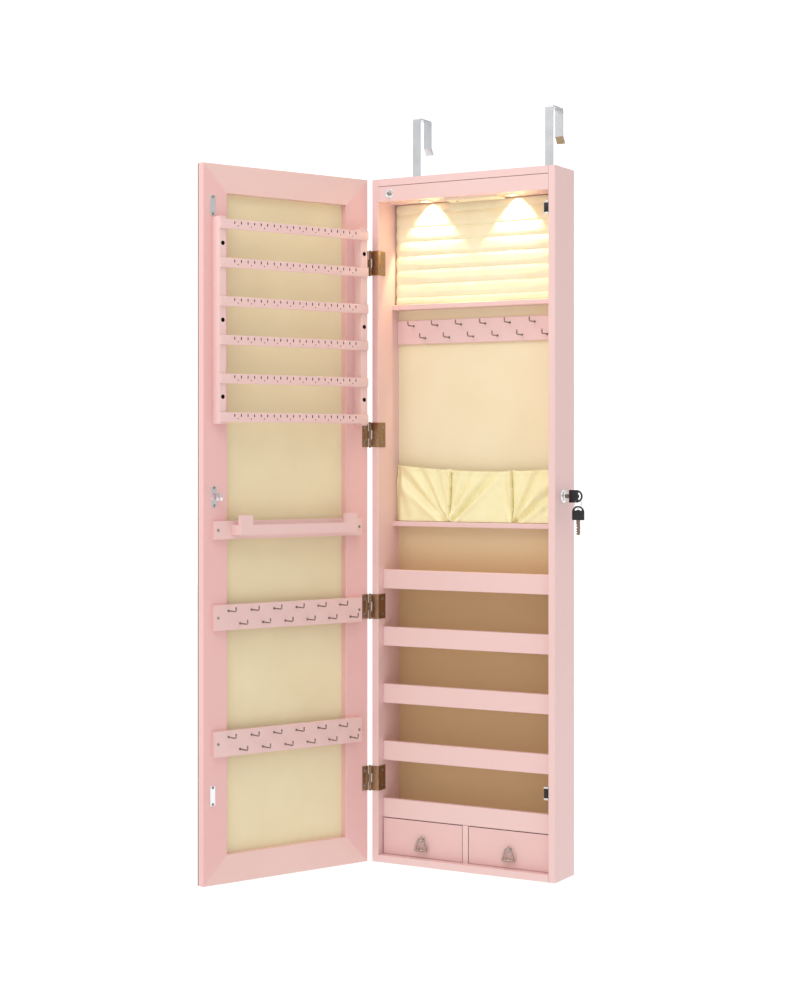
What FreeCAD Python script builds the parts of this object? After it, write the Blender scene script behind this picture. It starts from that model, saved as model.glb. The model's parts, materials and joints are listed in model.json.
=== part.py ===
import FreeCAD, Part

import math
import os
import re

import Sketcher
from FreeCAD import Vector

# Jewelry cabinet that hangs over the top of a house door: a shallow painted box with shelves, hooks,
# a ring pad, a pouch and two drawers, and a full-height mirror door on four butt hinges.
#
# Cabinet frame (C): origin at the body's left, front, bottom corner, X right, Y back, Z up.
# The finished part stands in the hanging frame (see HANGING), whose origin is on the top edge of the
# house door, midway between the two hooks, at the front face of that door. Lengths are millimetres.

SIZES = {
    # cabinet body
    "body_width": 350,
    "body_height": 1200,
    "body_depth": 79,
    "board": 12.5,
    "back_thickness": 2.5,
    "back_rebate": 6,
    "lining_thickness": 0.5,
    "edge_round": 1.2,
    "edge_arris": 0.8,
    "gap_line": 1,
    "fit_clearance": 0.2,
    # over-door hooks
    "strap_width": 15,
    "strap_thickness": 2,
    "strap_bend": 3,
    "strap_spacing": 257,
    "strap_foot": 34,
    "strap_screw_lift": 3.5,
    "hook_rise": 114,
    "hook_gap": 40,
    "hook_leg": 46,
    "hook_flare_out": 9,
    "hook_flare_down": 12,
    "batten_depth": 12,
    # light box behind the valance
    "valance_height": 26,
    "soffit_thickness": 3,
    "lamp_x": 89,
    "lamp_spacing": 166,
    "lamp_y": 35,
    "lamp_radius": 10,
    "lamp_height": 9,
    "lamp_flange": 1.5,
    "lamp_rim": 2,
    "battery_x": 132,
    "battery_length": 102,
    "battery_y": 18,
    "battery_width": 34,
    "battery_height": 20,
    "battery_wall": 1.5,
    "battery_drop": 2,
    "battery_lid": 2,
    "cell_radius": 5.25,
    "cell_length": 44.5,
    "cell_end_gap": 2,
    "cell_gap": 3,
    "boss_x": 18,
    "boss_radius": 3,
    "switch_x": 34.5,
    "switch_ring_radius": 8.3,
    "switch_hole_radius": 4.1,
    "switch_body_radius": 6.5,
    "switch_depth": 20,
    "switch_ring_proud": 1.2,
    "plunger_radius": 4,
    "plunger_proud": 2.6,
    "plunger_stroke": 1.4,
    # shelves and tiers
    "shelf_thickness": 9,
    "ring_shelf_drop": 227,
    "ring_shelf_front": 50.5,
    "pouch_shelf_z": 589,
    "pouch_shelf_front": 53,
    "tier_base_z": 77,
    "tier_pitch": 100.8,
    "tier_count": 5,
    "tier_rail_height": 33.5,
    "tier_rail_thickness": 9,
    "tier_front": 17,
    # ring pad
    "pad_pitch": 24.6,
    "pad_front": 58.6,
    "pad_groove": 5,
    "pad_clearance": 0.5,
    "pad_end_run": 6,
    "pad_end_inset": 6,
    "pad_shoulder": 20,
    "pad_shoulder_inset": 0.8,
    # hook rails
    "necklace_rail_drop": 60.5,
    "hook_rail_height": 42.5,
    "necklace_rail_thickness": 6,
    "hook_count": 12,
    "hook_pitch": 23.5,
    "hook_row_half": 11,
    "hook_reach": 22,
    "hook_wire": 1.2,
    "hook_tip": 8,
    "hook_bend": 2.5,
    "hook_bite": 4,
    # pouch
    "pouch_height": 92,
    "pouch_front": 54.5,
    "pouch_gap": 0.4,
    "pouch_cloth": 1.6,
    "pouch_pleat_1": 127,
    "pouch_pleat_2": 251,
    "pouch_pleat_y": 68,
    # drawers
    "divider_width": 10,
    "drawer_front_y": 16,
    "drawer_front_thickness": 12,
    "drawer_side": 6,
    "drawer_side_height": 46,
    "drawer_floor": 3,
    "drawer_clearance": 1,
    "drawer_slide_gap": 0.3,
    "drawer_floor_lift": 2,
    "pull_z": 45,
    "pull_post_radius": 4.6,
    "pull_post_length": 8.5,
    "pull_foot": 1.6,
    "pull_head": 1.8,
    "pull_waist_radius": 3,
    "pull_stem_radius": 1.9,
    "pull_clearance": 0.09,
    "pull_head_taper": 0.9,
    "pull_stem_gap": 1,
    "bail_wire": 1.2,
    "bail_bar": 2.3,
    "bail_width": 22,
    "bail_top_width": 11,
    "bail_drop": 18,
    "bail_setback": 2.6,
    # door
    "door_angle": 111.8,
    "door_margin": 0.5,
    "door_gap": 3,
    "frame_width": 48,
    "frame_thickness": 14,
    "lining_board": 1.5,
    "lining_rebate": 6,
    "mirror_thickness": 3,
    "mirror_arris": 0.6,
    # hinges
    "hinge_base_z": 147,
    "hinge_count": 4,
    "hinge_height": 43,
    "hinge_axis_x": -3.4,
    "knuckle_radius": 2.8,
    "knuckle_gap": 0.4,
    "leaf_thickness": 1.2,
    "leaf_wing": 24,
    "leaf_start": 0.3,
    "wing_screw_offset": 2,
    "door_leaf_width": 13,
    "pin_radius": 1.2,
    "pin_clearance": 0.05,
    "pin_head_radius": 2.2,
    "pin_head": 1.4,
    "leaf_screw_spacing": 26,
    "screw_head_radius": 2.6,
    "screw_head": 0.9,
    "screw_radius": 1.1,
    "screw_hole_radius": 1.35,
    "screw_length": 9,
    "rail_screw_length": 18,
    # earring rack
    "rack_x": 18,
    "rack_right_inset": 18.5,
    "rack_z": 767,
    "rack_top_drop": 89,
    "upright_width": 14,
    "upright_depth": 14,
    "slat_height": 16,
    "slat_thickness": 3.5,
    "slat_count": 6,
    "slat_base": 3,
    "slat_top_gap": 5,
    "slot_count": 20,
    "slot_pitch": 15,
    "slot_width": 1.8,
    "slot_height": 5,
    "slot_low": 8.5,
    "rack_hole_radius": 3,
    "rack_hole_base": 44.8,
    "rack_hole_depth": 10,
    # bracelet holder and hook rails on the door
    "door_rail_x": 20,
    "door_rail_right_inset": 19,
    "door_rail_thickness": 8,
    "bracelet_z": 575,
    "bracelet_board_height": 30.5,
    "bracelet_front_x": 51.5,
    "bracelet_right_inset": 52.5,
    "bracelet_reach": 34.5,
    "bracelet_bar_thickness": 7,
    "bracelet_bar_height": 17,
    "bracelet_rise": 33,
    "bracelet_tab_width": 24.7,
    "bracelet_bar_lift": 7,
    "upper_hook_rail_z": 423.5,
    "lower_hook_rail_z": 213.5,
    "rail_screw_inset": 6,
    # magnetic catches and their strikes
    "catch_z": 149,
    "catch_top_drop": 70,
    "catch_height": 22,
    "catch_width": 10,
    "catch_depth": 13,
    "catch_pole": 3,
    "strike_edge": 24,
    "strike_width": 10,
    "strike_height": 34,
    "strike_thickness": 1,
    "strike_inset": 3,
    "catch_air": 0.5,
    # lock
    "lock_y": 35.3,
    "lock_z": 646,
    "lock_bezel_radius": 11.5,
    "lock_bezel": 3,
    "lock_body_radius": 9,
    "lock_body_length": 18,
    "lock_nut_flats": 22,
    "lock_nut": 3.5,
    "lock_clearance": 0.3,
    "plug_radius": 5.5,
    "plug_clearance": 0.08,
    "plug_proud": 1.2,
    "cam_thickness": 2,
    "cam_square": 7,
    "tenon_proud": 1.5,
    "cam_hub_radius": 8,
    "cam_finger_inner": 16.4,
    "cam_finger_outer": 20.6,
    "lock_strike_height": 35.5,
    "tongue_height": 12,
    "tongue_thickness": 1.2,
    "tongue_gap": 1,
    "window_rim": 2,
    "tongue_reach": 26,
    "tongue_lip": 4,
    "key_neck": 6,
    "key_head_length": 24,
    "key_head_width": 21.4,
    "key_head_thickness": 3.4,
    "key_blade_width": 6.5,
    "key_blade_thickness": 2,
    "key_blade_length": 25,
    "key_slot_width": 3.6,
    "key_rim": 2.6,
    "key_slot_angle": 62,
    "key_tip": 1.5,
    "keyway_slack": 0.6,
    "ring_radius": 7.3,
    "ring_wire": 0.45,
    "ring_turn": 60,
    "ring_slack": 1.55,
}

document = FreeCAD.newDocument("jewelry_cabinet")
sheet = document.addObject("Spreadsheet::Sheet", "Sizes")
for row, (alias, size) in enumerate(SIZES.items(), start=1):
    sheet.set(f"A{row}", str(size))
    sheet.setAlias(f"A{row}", alias)
document.recompute()

WORD = re.compile(r"[a-z][a-z_0-9]*")

# where the cabinet frame stands in the hanging frame
HANGING = (
    "placement(vector(-body_width / 2; -body_depth - strap_thickness; -body_height - hook_rise);"
    " rotation(vector(0; 0; 1); 0))"
)
# the same for pieces on the door, which are laid out as if it were shut and swing about the hinge pins
SWUNG = (
    HANGING + " * placement(vector(0; 0; 0); rotation(vector(0; 0; 1); -door_angle);"
    " vector(hinge_axis_x; -door_gap / 2; 0))"
)
UPRIGHT = "rotation(vector(0; 0; 1); 0)"
ALONG_X = "rotation(vector(0; 1; 0); 90)"
TO_FRONT = "rotation(vector(1; 0; 0); 90)"
TO_BACK = "rotation(vector(1; 0; 0); -90)"
HALF_TURN = "rotation(vector(0; 1; 0); 180)"
QUARTER_BACK = "rotation(vector(0; 1; 0); -90)"

nodes = []


# ---------------------------------------------------------------- helpers


def bound(expression):
    """The expression with each size's name pointing at its cell."""
    return WORD.sub(lambda m: "Sizes." + m.group() if m.group() in SIZES else m.group(), str(expression))


def number(expression):
    return float(sheet.evalExpression(bound(expression)))


def place(piece, at, frame=None, turn=UPRIGHT):
    """Binds a piece's Placement to a point and a turn, in its own group or in a frame."""
    local = f"placement(vector({at[0]}; {at[1]}; {at[2]}); {turn})"
    piece.setExpression("Placement", bound(f"{frame} * {local}" if frame else local))
    return piece


def node(piece, label):
    """Marks a finished sub-part: its Label names its file."""
    piece.Label = label
    nodes.append(piece)
    return piece


def box(size, at=(0, 0, 0), frame=None, turn=UPRIGHT):
    block = document.addObject("Part::Box", "block")
    for side, expression in zip(("Length", "Width", "Height"), size):
        block.setExpression(side, bound(expression))
    return place(block, at, frame, turn)


def rod(radius, length, at=(0, 0, 0), frame=None, turn=UPRIGHT):
    cylinder = document.addObject("Part::Cylinder", "rod")
    cylinder.setExpression("Radius", bound(radius))
    cylinder.setExpression("Height", bound(length))
    return place(cylinder, at, frame, turn)


def prism(sides, radius, length, at=(0, 0, 0), turn=UPRIGHT):
    """A round stick in few faces, for small pieces that repeat."""
    stick = document.addObject("Part::Prism", "prism")
    stick.Polygon = sides
    stick.setExpression("Circumradius", bound(radius))
    stick.setExpression("Height", bound(length))
    return place(stick, at, None, turn)


def screw_hole(length, at, turn):
    """A tool for a screw's clearance hole."""
    return prism(8, "screw_hole_radius", length, at, turn)


def fused(pieces, at=(0, 0, 0), frame=None, turn=UPRIGHT):
    whole = document.addObject("Part::MultiFuse", "fused")
    whole.Shapes = pieces
    whole.Refine = True
    return place(whole, at, frame, turn)


def cut(base, tools, at=(0, 0, 0), frame=None, turn=UPRIGHT):
    tool = tools[0] if len(tools) == 1 else fused(tools)
    rest = document.addObject("Part::Cut", "cut")
    rest.Base = base
    rest.Tool = tool
    return place(rest, at, frame, turn)


def copy_at(piece, at, turn=UPRIGHT):
    link = document.addObject("App::Link", "copy")
    link.LinkedObject = piece
    return place(link, at, None, turn)


def group(pieces, frame=HANGING):
    """Separate solids that share one node."""
    together = document.addObject("Part::Compound", "group")
    together.Links = pieces
    return place(together, (0, 0, 0), frame)


def new_body(name):
    return document.addObject("PartDesign::Body", name)


def origin_feature(body, role):
    return next(feature for feature in body.Origin.OriginFeatures if feature.Role == role)


def arc_middle(start, end, radius, side):
    """The middle point of the minor arc from start to end that bulges to its left (1) or right (-1)."""
    chord = end - start
    sagitta = radius - math.sqrt(max(radius**2 - (chord.Length / 2) ** 2, 0))
    left = Vector(-chord.y, chord.x, 0).normalize()
    return (start + end) * 0.5 + left * sagitta * side


def outline(body, role, points, name="outline"):
    """A closed sketch. A point is (x, y), or (x, y, radius, side) where an arc arrives at it."""
    sketch = body.newObject("Sketcher::SketchObject", name)
    sketch.AttachmentSupport = [(origin_feature(body, role), "")]
    sketch.MapMode = "FlatFace"
    corners = [Vector(number(p[0]), number(p[1]), 0) for p in points]
    for index, point in enumerate(points):
        start, end = corners[index - 1], corners[index]
        if len(point) == 2:
            sketch.addGeometry(Part.LineSegment(start, end))
        else:
            middle = arc_middle(start, end, number(point[2]), point[3])
            sketch.addGeometry(Part.Arc(start, middle, end))
    for index, point in enumerate(points):
        ends = [end_of(sketch, i, corners[index]) for i in (index, (index + 1) % len(points))]
        after = (index + 1) % len(points)
        sketch.addConstraint(Sketcher.Constraint("Coincident", index, ends[0], after, ends[1]))
        for kind, axis in (("DistanceX", 0), ("DistanceY", 1)):
            value = corners[index][axis]
            bind(sketch, Sketcher.Constraint(kind, -1, 1, index, ends[0], value), point[axis])
        if len(point) > 2 and (corners[index] - corners[index - 1]).Length < 1.99 * number(point[2]):
            bind(sketch, Sketcher.Constraint("Radius", index, number(point[2])), point[2])
    return sketch


def end_of(sketch, index, point):
    """1 or 2: which end of an edge of a sketch lies at a point."""
    return 1 if sketch.getPoint(index, 1).distanceToPoint(point) < 1e-6 else 2


def bind(sketch, constraint, expression):
    position = sketch.addConstraint(constraint)
    sketch.setExpression(f"Constraints[{position}]", bound(expression))


def padded(points, length, role="XY_Plane", at=(0, 0, 0), frame=None, turn=UPRIGHT, both_ways=False):
    """A body whose outline is padded square to its plane."""
    body = new_body("profile")
    pad = body.newObject("PartDesign::Pad", "Pad")
    pad.Profile = (outline(body, role, points), [""])
    pad.setExpression("Length", bound(length))
    pad.Midplane = both_ways
    body.Tip = pad
    return place(body, at, frame, turn)


def board(size, at=(0, 0, 0), frame=None, turn=UPRIGHT, cuts=(), bores=(), softened=None):
    """A board, with square cuts (size, at), bores (sides, radius, length, at, turn) and softened edges.

    A bore with no sides is round. softened picks edges by their bounding boxes, once the cuts are made.
    """
    body = new_body("board")
    tip = body.newObject("PartDesign::AdditiveBox", "blank")
    for side, expression in zip(("Length", "Width", "Height"), size):
        tip.setExpression(side, bound(expression))
    for cut_size, cut_at in cuts:
        tip = body.newObject("PartDesign::SubtractiveBox", "recess")
        for side, expression in zip(("Length", "Width", "Height"), cut_size):
            tip.setExpression(side, bound(expression))
        place(tip, cut_at)
    for sides, radius, length, bore_at, bore_turn in bores:
        tip = body.newObject(f"PartDesign::Subtractive{'Prism' if sides else 'Cylinder'}", "bore")
        if sides:
            tip.Polygon = sides
        tip.setExpression("Circumradius" if sides else "Radius", bound(radius))
        tip.setExpression("Height", bound(length))
        place(tip, bore_at, None, bore_turn)
    if softened:
        document.recompute()
        edges = [f"Edge{i}" for i, edge in enumerate(tip.Shape.Edges, start=1) if softened(edge.BoundBox)]
        arris = body.newObject("PartDesign::Chamfer", "arris")
        arris.Base = (tip, edges)
        arris.setExpression("Size", bound("edge_arris"))
        tip = arris
    body.Tip = tip
    return place(body, at, frame, turn)


def front_edges(bounds):
    """The long edges of a board's front face, at local y = 0."""
    return bounds.YMax < 1e-6 and max(bounds.XLength, bounds.ZLength) > 30


def screw_sink(at):
    """A tool for the seat of a screw's head, open towards the back."""
    return prism(8, "screw_head_radius + 2 * fit_clearance", "screw_head + 1", at, TO_BACK)


def upright_corners(bounds):
    """The battery cover's four upright edges."""
    at_end = bounds.XMax < 1e-6 or bounds.XMin > number("battery_length") - 1e-6
    return at_end and bounds.XLength + bounds.YLength < 1e-6


def screw(length):
    """A pan-head wood screw pointing along -Z, its head's underside at z = 0, with few faces."""
    return fused([
        prism(6, "screw_head_radius", "screw_head"),
        prism(4, "screw_radius", length, (0, 0, f"-{length}")),
    ])


# ---------------------------------------------------------------- cabinet body

INNER_WIDTH = "(body_width - 2 * board)"
INNER_BACK = "(body_depth - back_thickness - lining_thickness)"
VALANCE_Z = "(body_height - board - gap_line - valance_height)"
RING_SHELF_Z = "(body_height - ring_shelf_drop)"
NECKLACE_RAIL_Z = "(body_height - ring_shelf_drop - necklace_rail_drop)"
LOCK_BORE = "(lock_body_radius + fit_clearance)"
STRAP_SCREW_HEIGHTS = ("body_height - board + strap_screw_lift", "body_height - board - strap_foot / 3")


def side_panel(label, x, rebate_x, bores=()):
    """A side board, rebated along its back edge for the back panel."""
    rebate = (("back_rebate", "back_thickness", "body_height"), (rebate_x, "body_depth - back_thickness", 0))
    node(board(("board", "body_depth", "body_height"), (x, 0, 0), HANGING, UPRIGHT, [rebate], bores,
               front_edges), label)


def end_panel(label, z, rebate_z):
    """The top or bottom board, between the sides and rebated like them."""
    rebate = ((INNER_WIDTH, "back_thickness", "back_rebate"), (0, "body_depth - back_thickness", rebate_z))
    node(board((INNER_WIDTH, "body_depth", "board"), ("board", 0, z), HANGING, UPRIGHT, [rebate]), label)


def body_shell():
    side_panel("left_side_panel", 0, "board - back_rebate")
    lock_bore = (24, LOCK_BORE, "board + 2", (-1, "lock_y", "lock_z"), ALONG_X)
    side_panel("right_side_panel", "body_width - board", 0, [lock_bore])
    end_panel("top_panel", "body_height - board", 0)
    end_panel("bottom_panel", 0, "board - back_rebate")
    rim = "(board - back_rebate)"
    node(box((f"body_width - 2 * {rim}", "back_thickness", f"body_height - 2 * {rim}"),
             (rim, "body_depth - back_thickness", rim), HANGING), "back_panel")
    node(box((INNER_WIDTH, "lining_thickness", "body_height - 2 * board"),
             ("board", INNER_BACK, "board"), HANGING), "back_lining")


def light_box():
    """Valance, soffit, lamps, battery box and the door switch, above the ring pad."""
    switch_hole = (24, "switch_body_radius + fit_clearance / 2", "board + 2",
                   ("switch_x - board", -1, "valance_height / 2"), TO_BACK)
    node(board((INNER_WIDTH, "board", "valance_height"), ("board", 0, VALANCE_Z), HANGING, UPRIGHT, [],
               [switch_hole]), "light_valance")
    lamp_holes = [(24, "lamp_radius + fit_clearance", "soffit_thickness + 2",
                   (f"lamp_x + {i} * lamp_spacing - board", "lamp_y - board", -1), UPRIGHT) for i in range(2)]
    hatch = (("battery_length + 2 * fit_clearance", "battery_width + 2 * fit_clearance",
              "soffit_thickness + 2"),
             ("battery_x - board - fit_clearance", "battery_y - board - fit_clearance", -1))
    node(board((INNER_WIDTH, f"{INNER_BACK} - board", "soffit_thickness"), ("board", "board", VALANCE_Z),
               HANGING, UPRIGHT, [hatch], lamp_holes), "light_soffit")
    lamp = fused([
        prism(24, "lamp_radius + lamp_rim", "lamp_flange", (0, 0, "-lamp_flange")),
        prism(24, "lamp_radius", "lamp_height"),
    ])
    node(group([copy_at(lamp, (f"lamp_x + {i} * lamp_spacing", "lamp_y", VALANCE_Z)) for i in range(2)]),
         "led_lamps")
    floor = f"{VALANCE_Z} - battery_drop"
    shell = box(("battery_length", "battery_width", "battery_height"))
    hollow = box(("battery_length - 2 * battery_wall", "battery_width - 2 * battery_wall", "battery_height"),
                 ("battery_wall", "battery_wall", "-battery_wall"))
    boss = prism(12, "boss_radius", "battery_height - 1", ("boss_x", "battery_width / 2", 0))
    node(fused([cut(shell, [hollow]), boss], ("battery_x", "battery_y", floor), HANGING), "battery_box")
    lid_hole = (8, "screw_hole_radius", "battery_lid + 2", ("boss_x", "battery_width / 2", -1), UPRIGHT)
    node(board(("battery_length", "battery_width", "battery_lid"),
               ("battery_x", "battery_y", f"{floor} - battery_lid"), HANGING, UPRIGHT, [], [lid_hole],
               upright_corners), "battery_cover")
    cell = prism(16, "cell_radius", "cell_length")
    reach = "(battery_width / 2 - battery_wall - cell_radius - fit_clearance)"
    cells = [
        copy_at(cell, (f"battery_x + battery_wall + cell_end_gap + {i} * (cell_length + cell_gap)",
                       f"battery_y + battery_width / 2 + {side} * {reach}",
                       f"{floor} + battery_height - battery_wall - cell_radius"), ALONG_X)
        for i in range(2) for side in (-1, 1)
    ]
    node(group(cells), "batteries")
    return [("battery_x + boss_x", "battery_y + battery_width / 2", f"{floor} - battery_lid", HALF_TURN)]


def door_switch():
    """A round plunger switch in the valance that the shut door holds in."""
    centre = ("switch_x", 0, f"{VALANCE_Z} + valance_height / 2")
    ring = fused([
        prism(24, "switch_ring_radius", "switch_ring_proud"),
        prism(24, "switch_body_radius", "switch_depth", (0, 0, "-switch_depth")),
    ])
    bore = rod("switch_hole_radius", "switch_depth + switch_ring_proud + 2", (0, 0, "-switch_depth - 1"))
    node(cut(ring, [bore], centre, HANGING, TO_FRONT), "switch_bezel")
    inner_end = "switch_depth - plunger_stroke - 2"
    node(rod("plunger_radius", f"plunger_proud + {inner_end}", ("switch_x", inner_end, centre[2]), HANGING,
             TO_FRONT), "switch_plunger")


def hanging_hooks():
    """Two bent steel straps over the house door, and the batten inside that their screws bite into."""
    node(box((INNER_WIDTH, "batten_depth", "valance_height + gap_line - soffit_thickness"),
             ("board", f"{INNER_BACK} - batten_depth", f"{VALANCE_Z} + soffit_thickness"), HANGING),
         "hanging_batten")
    inner = "(strap_bend - strap_thickness)"
    flare = "sqrt(hook_flare_out^2 + hook_flare_down^2)"
    strap = padded([
        ("-strap_thickness", "-hook_rise - strap_foot"),
        (0, "-hook_rise - strap_foot"),
        (0, f"-{inner}"),
        (inner, 0, inner, 1),
        (f"hook_gap - {inner}", 0),
        ("hook_gap", f"-{inner}", inner, 1),
        ("hook_gap", "-hook_leg"),
        ("hook_gap + hook_flare_out", "-hook_leg - hook_flare_down"),
        (f"hook_gap + hook_flare_out + strap_thickness * hook_flare_down / {flare}",
         f"-hook_leg - hook_flare_down + strap_thickness * hook_flare_out / {flare}"),
        ("hook_gap + strap_thickness",
         f"-hook_leg + strap_thickness * ({flare} - hook_flare_down) / hook_flare_out"),
        ("hook_gap + strap_thickness", "strap_thickness - strap_bend"),
        ("hook_gap + strap_thickness - strap_bend", "strap_thickness", "strap_bend", -1),
        ("-strap_thickness + strap_bend", "strap_thickness"),
        ("-strap_thickness", "strap_thickness - strap_bend", "strap_bend", -1),
    ], "strap_width", "YZ_Plane", both_ways=True)
    sinks = []
    for z in STRAP_SCREW_HEIGHTS:
        height = f"{z} - body_height - hook_rise"
        sinks.append(screw_hole("strap_thickness + 2", (0, "-strap_thickness - 1", height), TO_BACK))
        sinks.append(screw_sink((0, "-screw_head", height)))
    drilled = cut(strap, sinks)
    straps = [copy_at(drilled, (f"{side} * strap_spacing / 2", 0, 0)) for side in (-1, 1)]
    node(group(straps, None), "over_door_hooks")
    seat_y = "body_depth + strap_thickness - screw_head"
    return [(f"body_width / 2 + {side} * strap_spacing / 2", seat_y, z, TO_BACK)
            for side in (-1, 1) for z in STRAP_SCREW_HEIGHTS]


def shelves():
    back = INNER_BACK
    node(board((INNER_WIDTH, f"{back} - ring_shelf_front", "shelf_thickness"),
               ("board", "ring_shelf_front", RING_SHELF_Z), HANGING, softened=front_edges), "ring_shelf")
    node(board((INNER_WIDTH, f"{back} - pouch_shelf_front", "shelf_thickness"),
               ("board", "pouch_shelf_front", "pouch_shelf_z"), HANGING, softened=front_edges), "pouch_shelf")
    tier_back = "(tier_front + tier_rail_thickness)"
    shelf = box((INNER_WIDTH, f"{back} - {tier_back}", "shelf_thickness"))
    rail = board((INNER_WIDTH, "tier_rail_thickness", "tier_rail_height"), softened=front_edges)
    levels = [f"tier_base_z + {i} * tier_pitch" for i in range(int(number("tier_count")))]
    node(group([copy_at(shelf, ("board", tier_back, z)) for z in levels]), "tier_shelves")
    node(group([copy_at(rail, ("board", "tier_front", z)) for z in levels]), "tier_rails")


# ---------------------------------------------------------------- soft pieces


def section(points, x=None, z=None):
    """A closed wire of lines and arcs in a plane of constant x (y, z points) or constant z (x, y points)."""
    def lift(point):
        return Vector(x, point[0], point[1]) if z is None else Vector(point[0], point[1], z)

    edges = []
    for index, point in enumerate(points):
        start, end = points[index - 1][:2], point[:2]
        if len(point) == 2:
            edges.append(Part.LineSegment(lift(start), lift(end)).toShape())
        else:
            edges.append(Part.Arc(lift(start), lift(point[2:]), lift(end)).toShape())
    return Part.Wire(Part.__sortEdges__(edges))


def soft_piece(label, shape):
    piece = document.addObject("Part::Feature", label)
    piece.Shape = shape
    place(piece, (0, 0, 0), HANGING)
    return node(piece, label)


def ring_pad():
    """A block of foam rolls: each roll bulges forward between two seams, and the ends are drawn in."""
    clear = number("pad_clearance")
    left, right = number("board") + clear, number("body_width - board") - clear
    bottom = number(f"{RING_SHELF_Z} + shelf_thickness") + clear
    top = number(VALANCE_Z) - clear
    back = number(INNER_BACK) - clear
    front, groove, pitch = number("pad_front"), number("pad_groove"), number("pad_pitch")
    rolls_high = max(int((top - bottom) / pitch), 1)  # the lowest roll takes what is left
    seams = [top - index * pitch for index in range(rolls_high)] + [bottom]

    def rolls(x, inset):
        seam_y = front + groove + inset
        points = [(back, bottom), (back, top), (seam_y, top)]
        for upper, lower in zip(seams, seams[1:]):
            points.append((seam_y, lower, front + inset, (upper + lower) / 2))
        return section(points, x=x)

    end, shoulder = number("pad_end_inset"), number("pad_shoulder_inset")
    steps = [(0, end), (number("pad_end_run"), shoulder), (number("pad_shoulder"), 0)]
    sections = [rolls(left + run, inset) for run, inset in steps]
    sections += [rolls(right - run, inset) for run, inset in reversed(steps)]
    shape = Part.makeLoft(sections, True, True)
    soft_piece("ring_pad", shape)


def pouch():
    """A gathered cloth front, pleated to the lining in two places, which leaves three open pockets."""
    cloth, front = number("pouch_cloth"), number("pouch_front")
    left, right = number("board + pouch_gap"), number("body_width - board - pouch_gap")
    seams = [left, number("pouch_pleat_1"), number("pouch_pleat_2"), right]
    base = number("pouch_shelf_z + shelf_thickness + pouch_gap")
    seam_y = number("pouch_pleat_y")
    folds = 3

    def level(height, fullness, inset):
        """The cloth's section: each fold has a crest between two hollows, and a seam ends each pocket."""
        outer = [(left, seam_y)]
        for start, end in zip(seams, seams[1:]):
            for fold in range(1, folds + 1):
                x = start + (end - start) * fold / folds
                y = seam_y if fold == folds else front + inset
                before = outer[-1]
                outer.append(((before[0] + x) / 2, (before[1] + y) / 2 - fullness))
                outer.append((x, y))
        inner = [(point[0], point[1] + cloth) for point in reversed(outer)]
        return section(outer + inner, z=base + height * number("pouch_height"))

    # (share of the height, depth of a fold, set back from the fullest front)
    levels = [(0, 1.5, 9), (0.3, 1.8, 0), (1, 1.5, 3.5)]
    soft_piece("pouch", Part.makeLoft([level(*values) for values in levels], True, True))


# ---------------------------------------------------------------- hooks and rails


def wire_hook():
    """An L-shaped screw hook: its shank leaves the rail along -Y and its tip turns up, in few faces."""
    shank_length = "hook_reach - hook_bend + hook_bite"
    elbow = "hook_bend * sqrt(2)"
    return fused([
        prism(5, "hook_wire", shank_length, (0, "hook_bite", 0), TO_FRONT),
        prism(5, "hook_wire", elbow, (0, "-hook_reach + hook_bend", 0), "rotation(vector(1; 0; 0); 45)"),
        prism(5, "hook_wire", "hook_tip - hook_bend", (0, "-hook_reach", "hook_bend")),
    ])


def hook_places(face_y, middle_x, middle_z, first_high):
    """Twelve places in two staggered rows; first_high says whether the first one is in the upper row."""
    count = int(number("hook_count"))
    places = []
    for index in range(count):
        high = 1 if (index % 2 == 0) == first_high else -1
        places.append((f"{middle_x} + ({index} - {(count - 1) / 2}) * hook_pitch", face_y,
                       f"{middle_z} + {high} * hook_row_half"))
    return places


def necklace_rail():
    rail_y = f"{INNER_BACK} - necklace_rail_thickness"
    node(board((INNER_WIDTH, "necklace_rail_thickness", "hook_rail_height"),
               ("board", rail_y, NECKLACE_RAIL_Z), HANGING, softened=front_edges), "necklace_rail")
    hook = wire_hook()
    places = hook_places(rail_y, "body_width / 2", f"{NECKLACE_RAIL_Z} + hook_rail_height / 2", True)
    node(group([copy_at(hook, at) for at in places]), "necklace_hooks")


# ---------------------------------------------------------------- drawers

OPENING_WIDTH = "(body_width - 2 * board - divider_width) / 2"
DRAWER_TOP = "tier_base_z - drawer_clearance"


def drawers():
    node(box(("divider_width", f"{INNER_BACK} - drawer_front_y", "tier_base_z - board"),
             ("(body_width - divider_width) / 2", "drawer_front_y", "board"), HANGING), "drawer_divider")
    for label, x in (("left", "board"), ("right", "(body_width + divider_width) / 2")):
        drawer(label, x)


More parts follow.
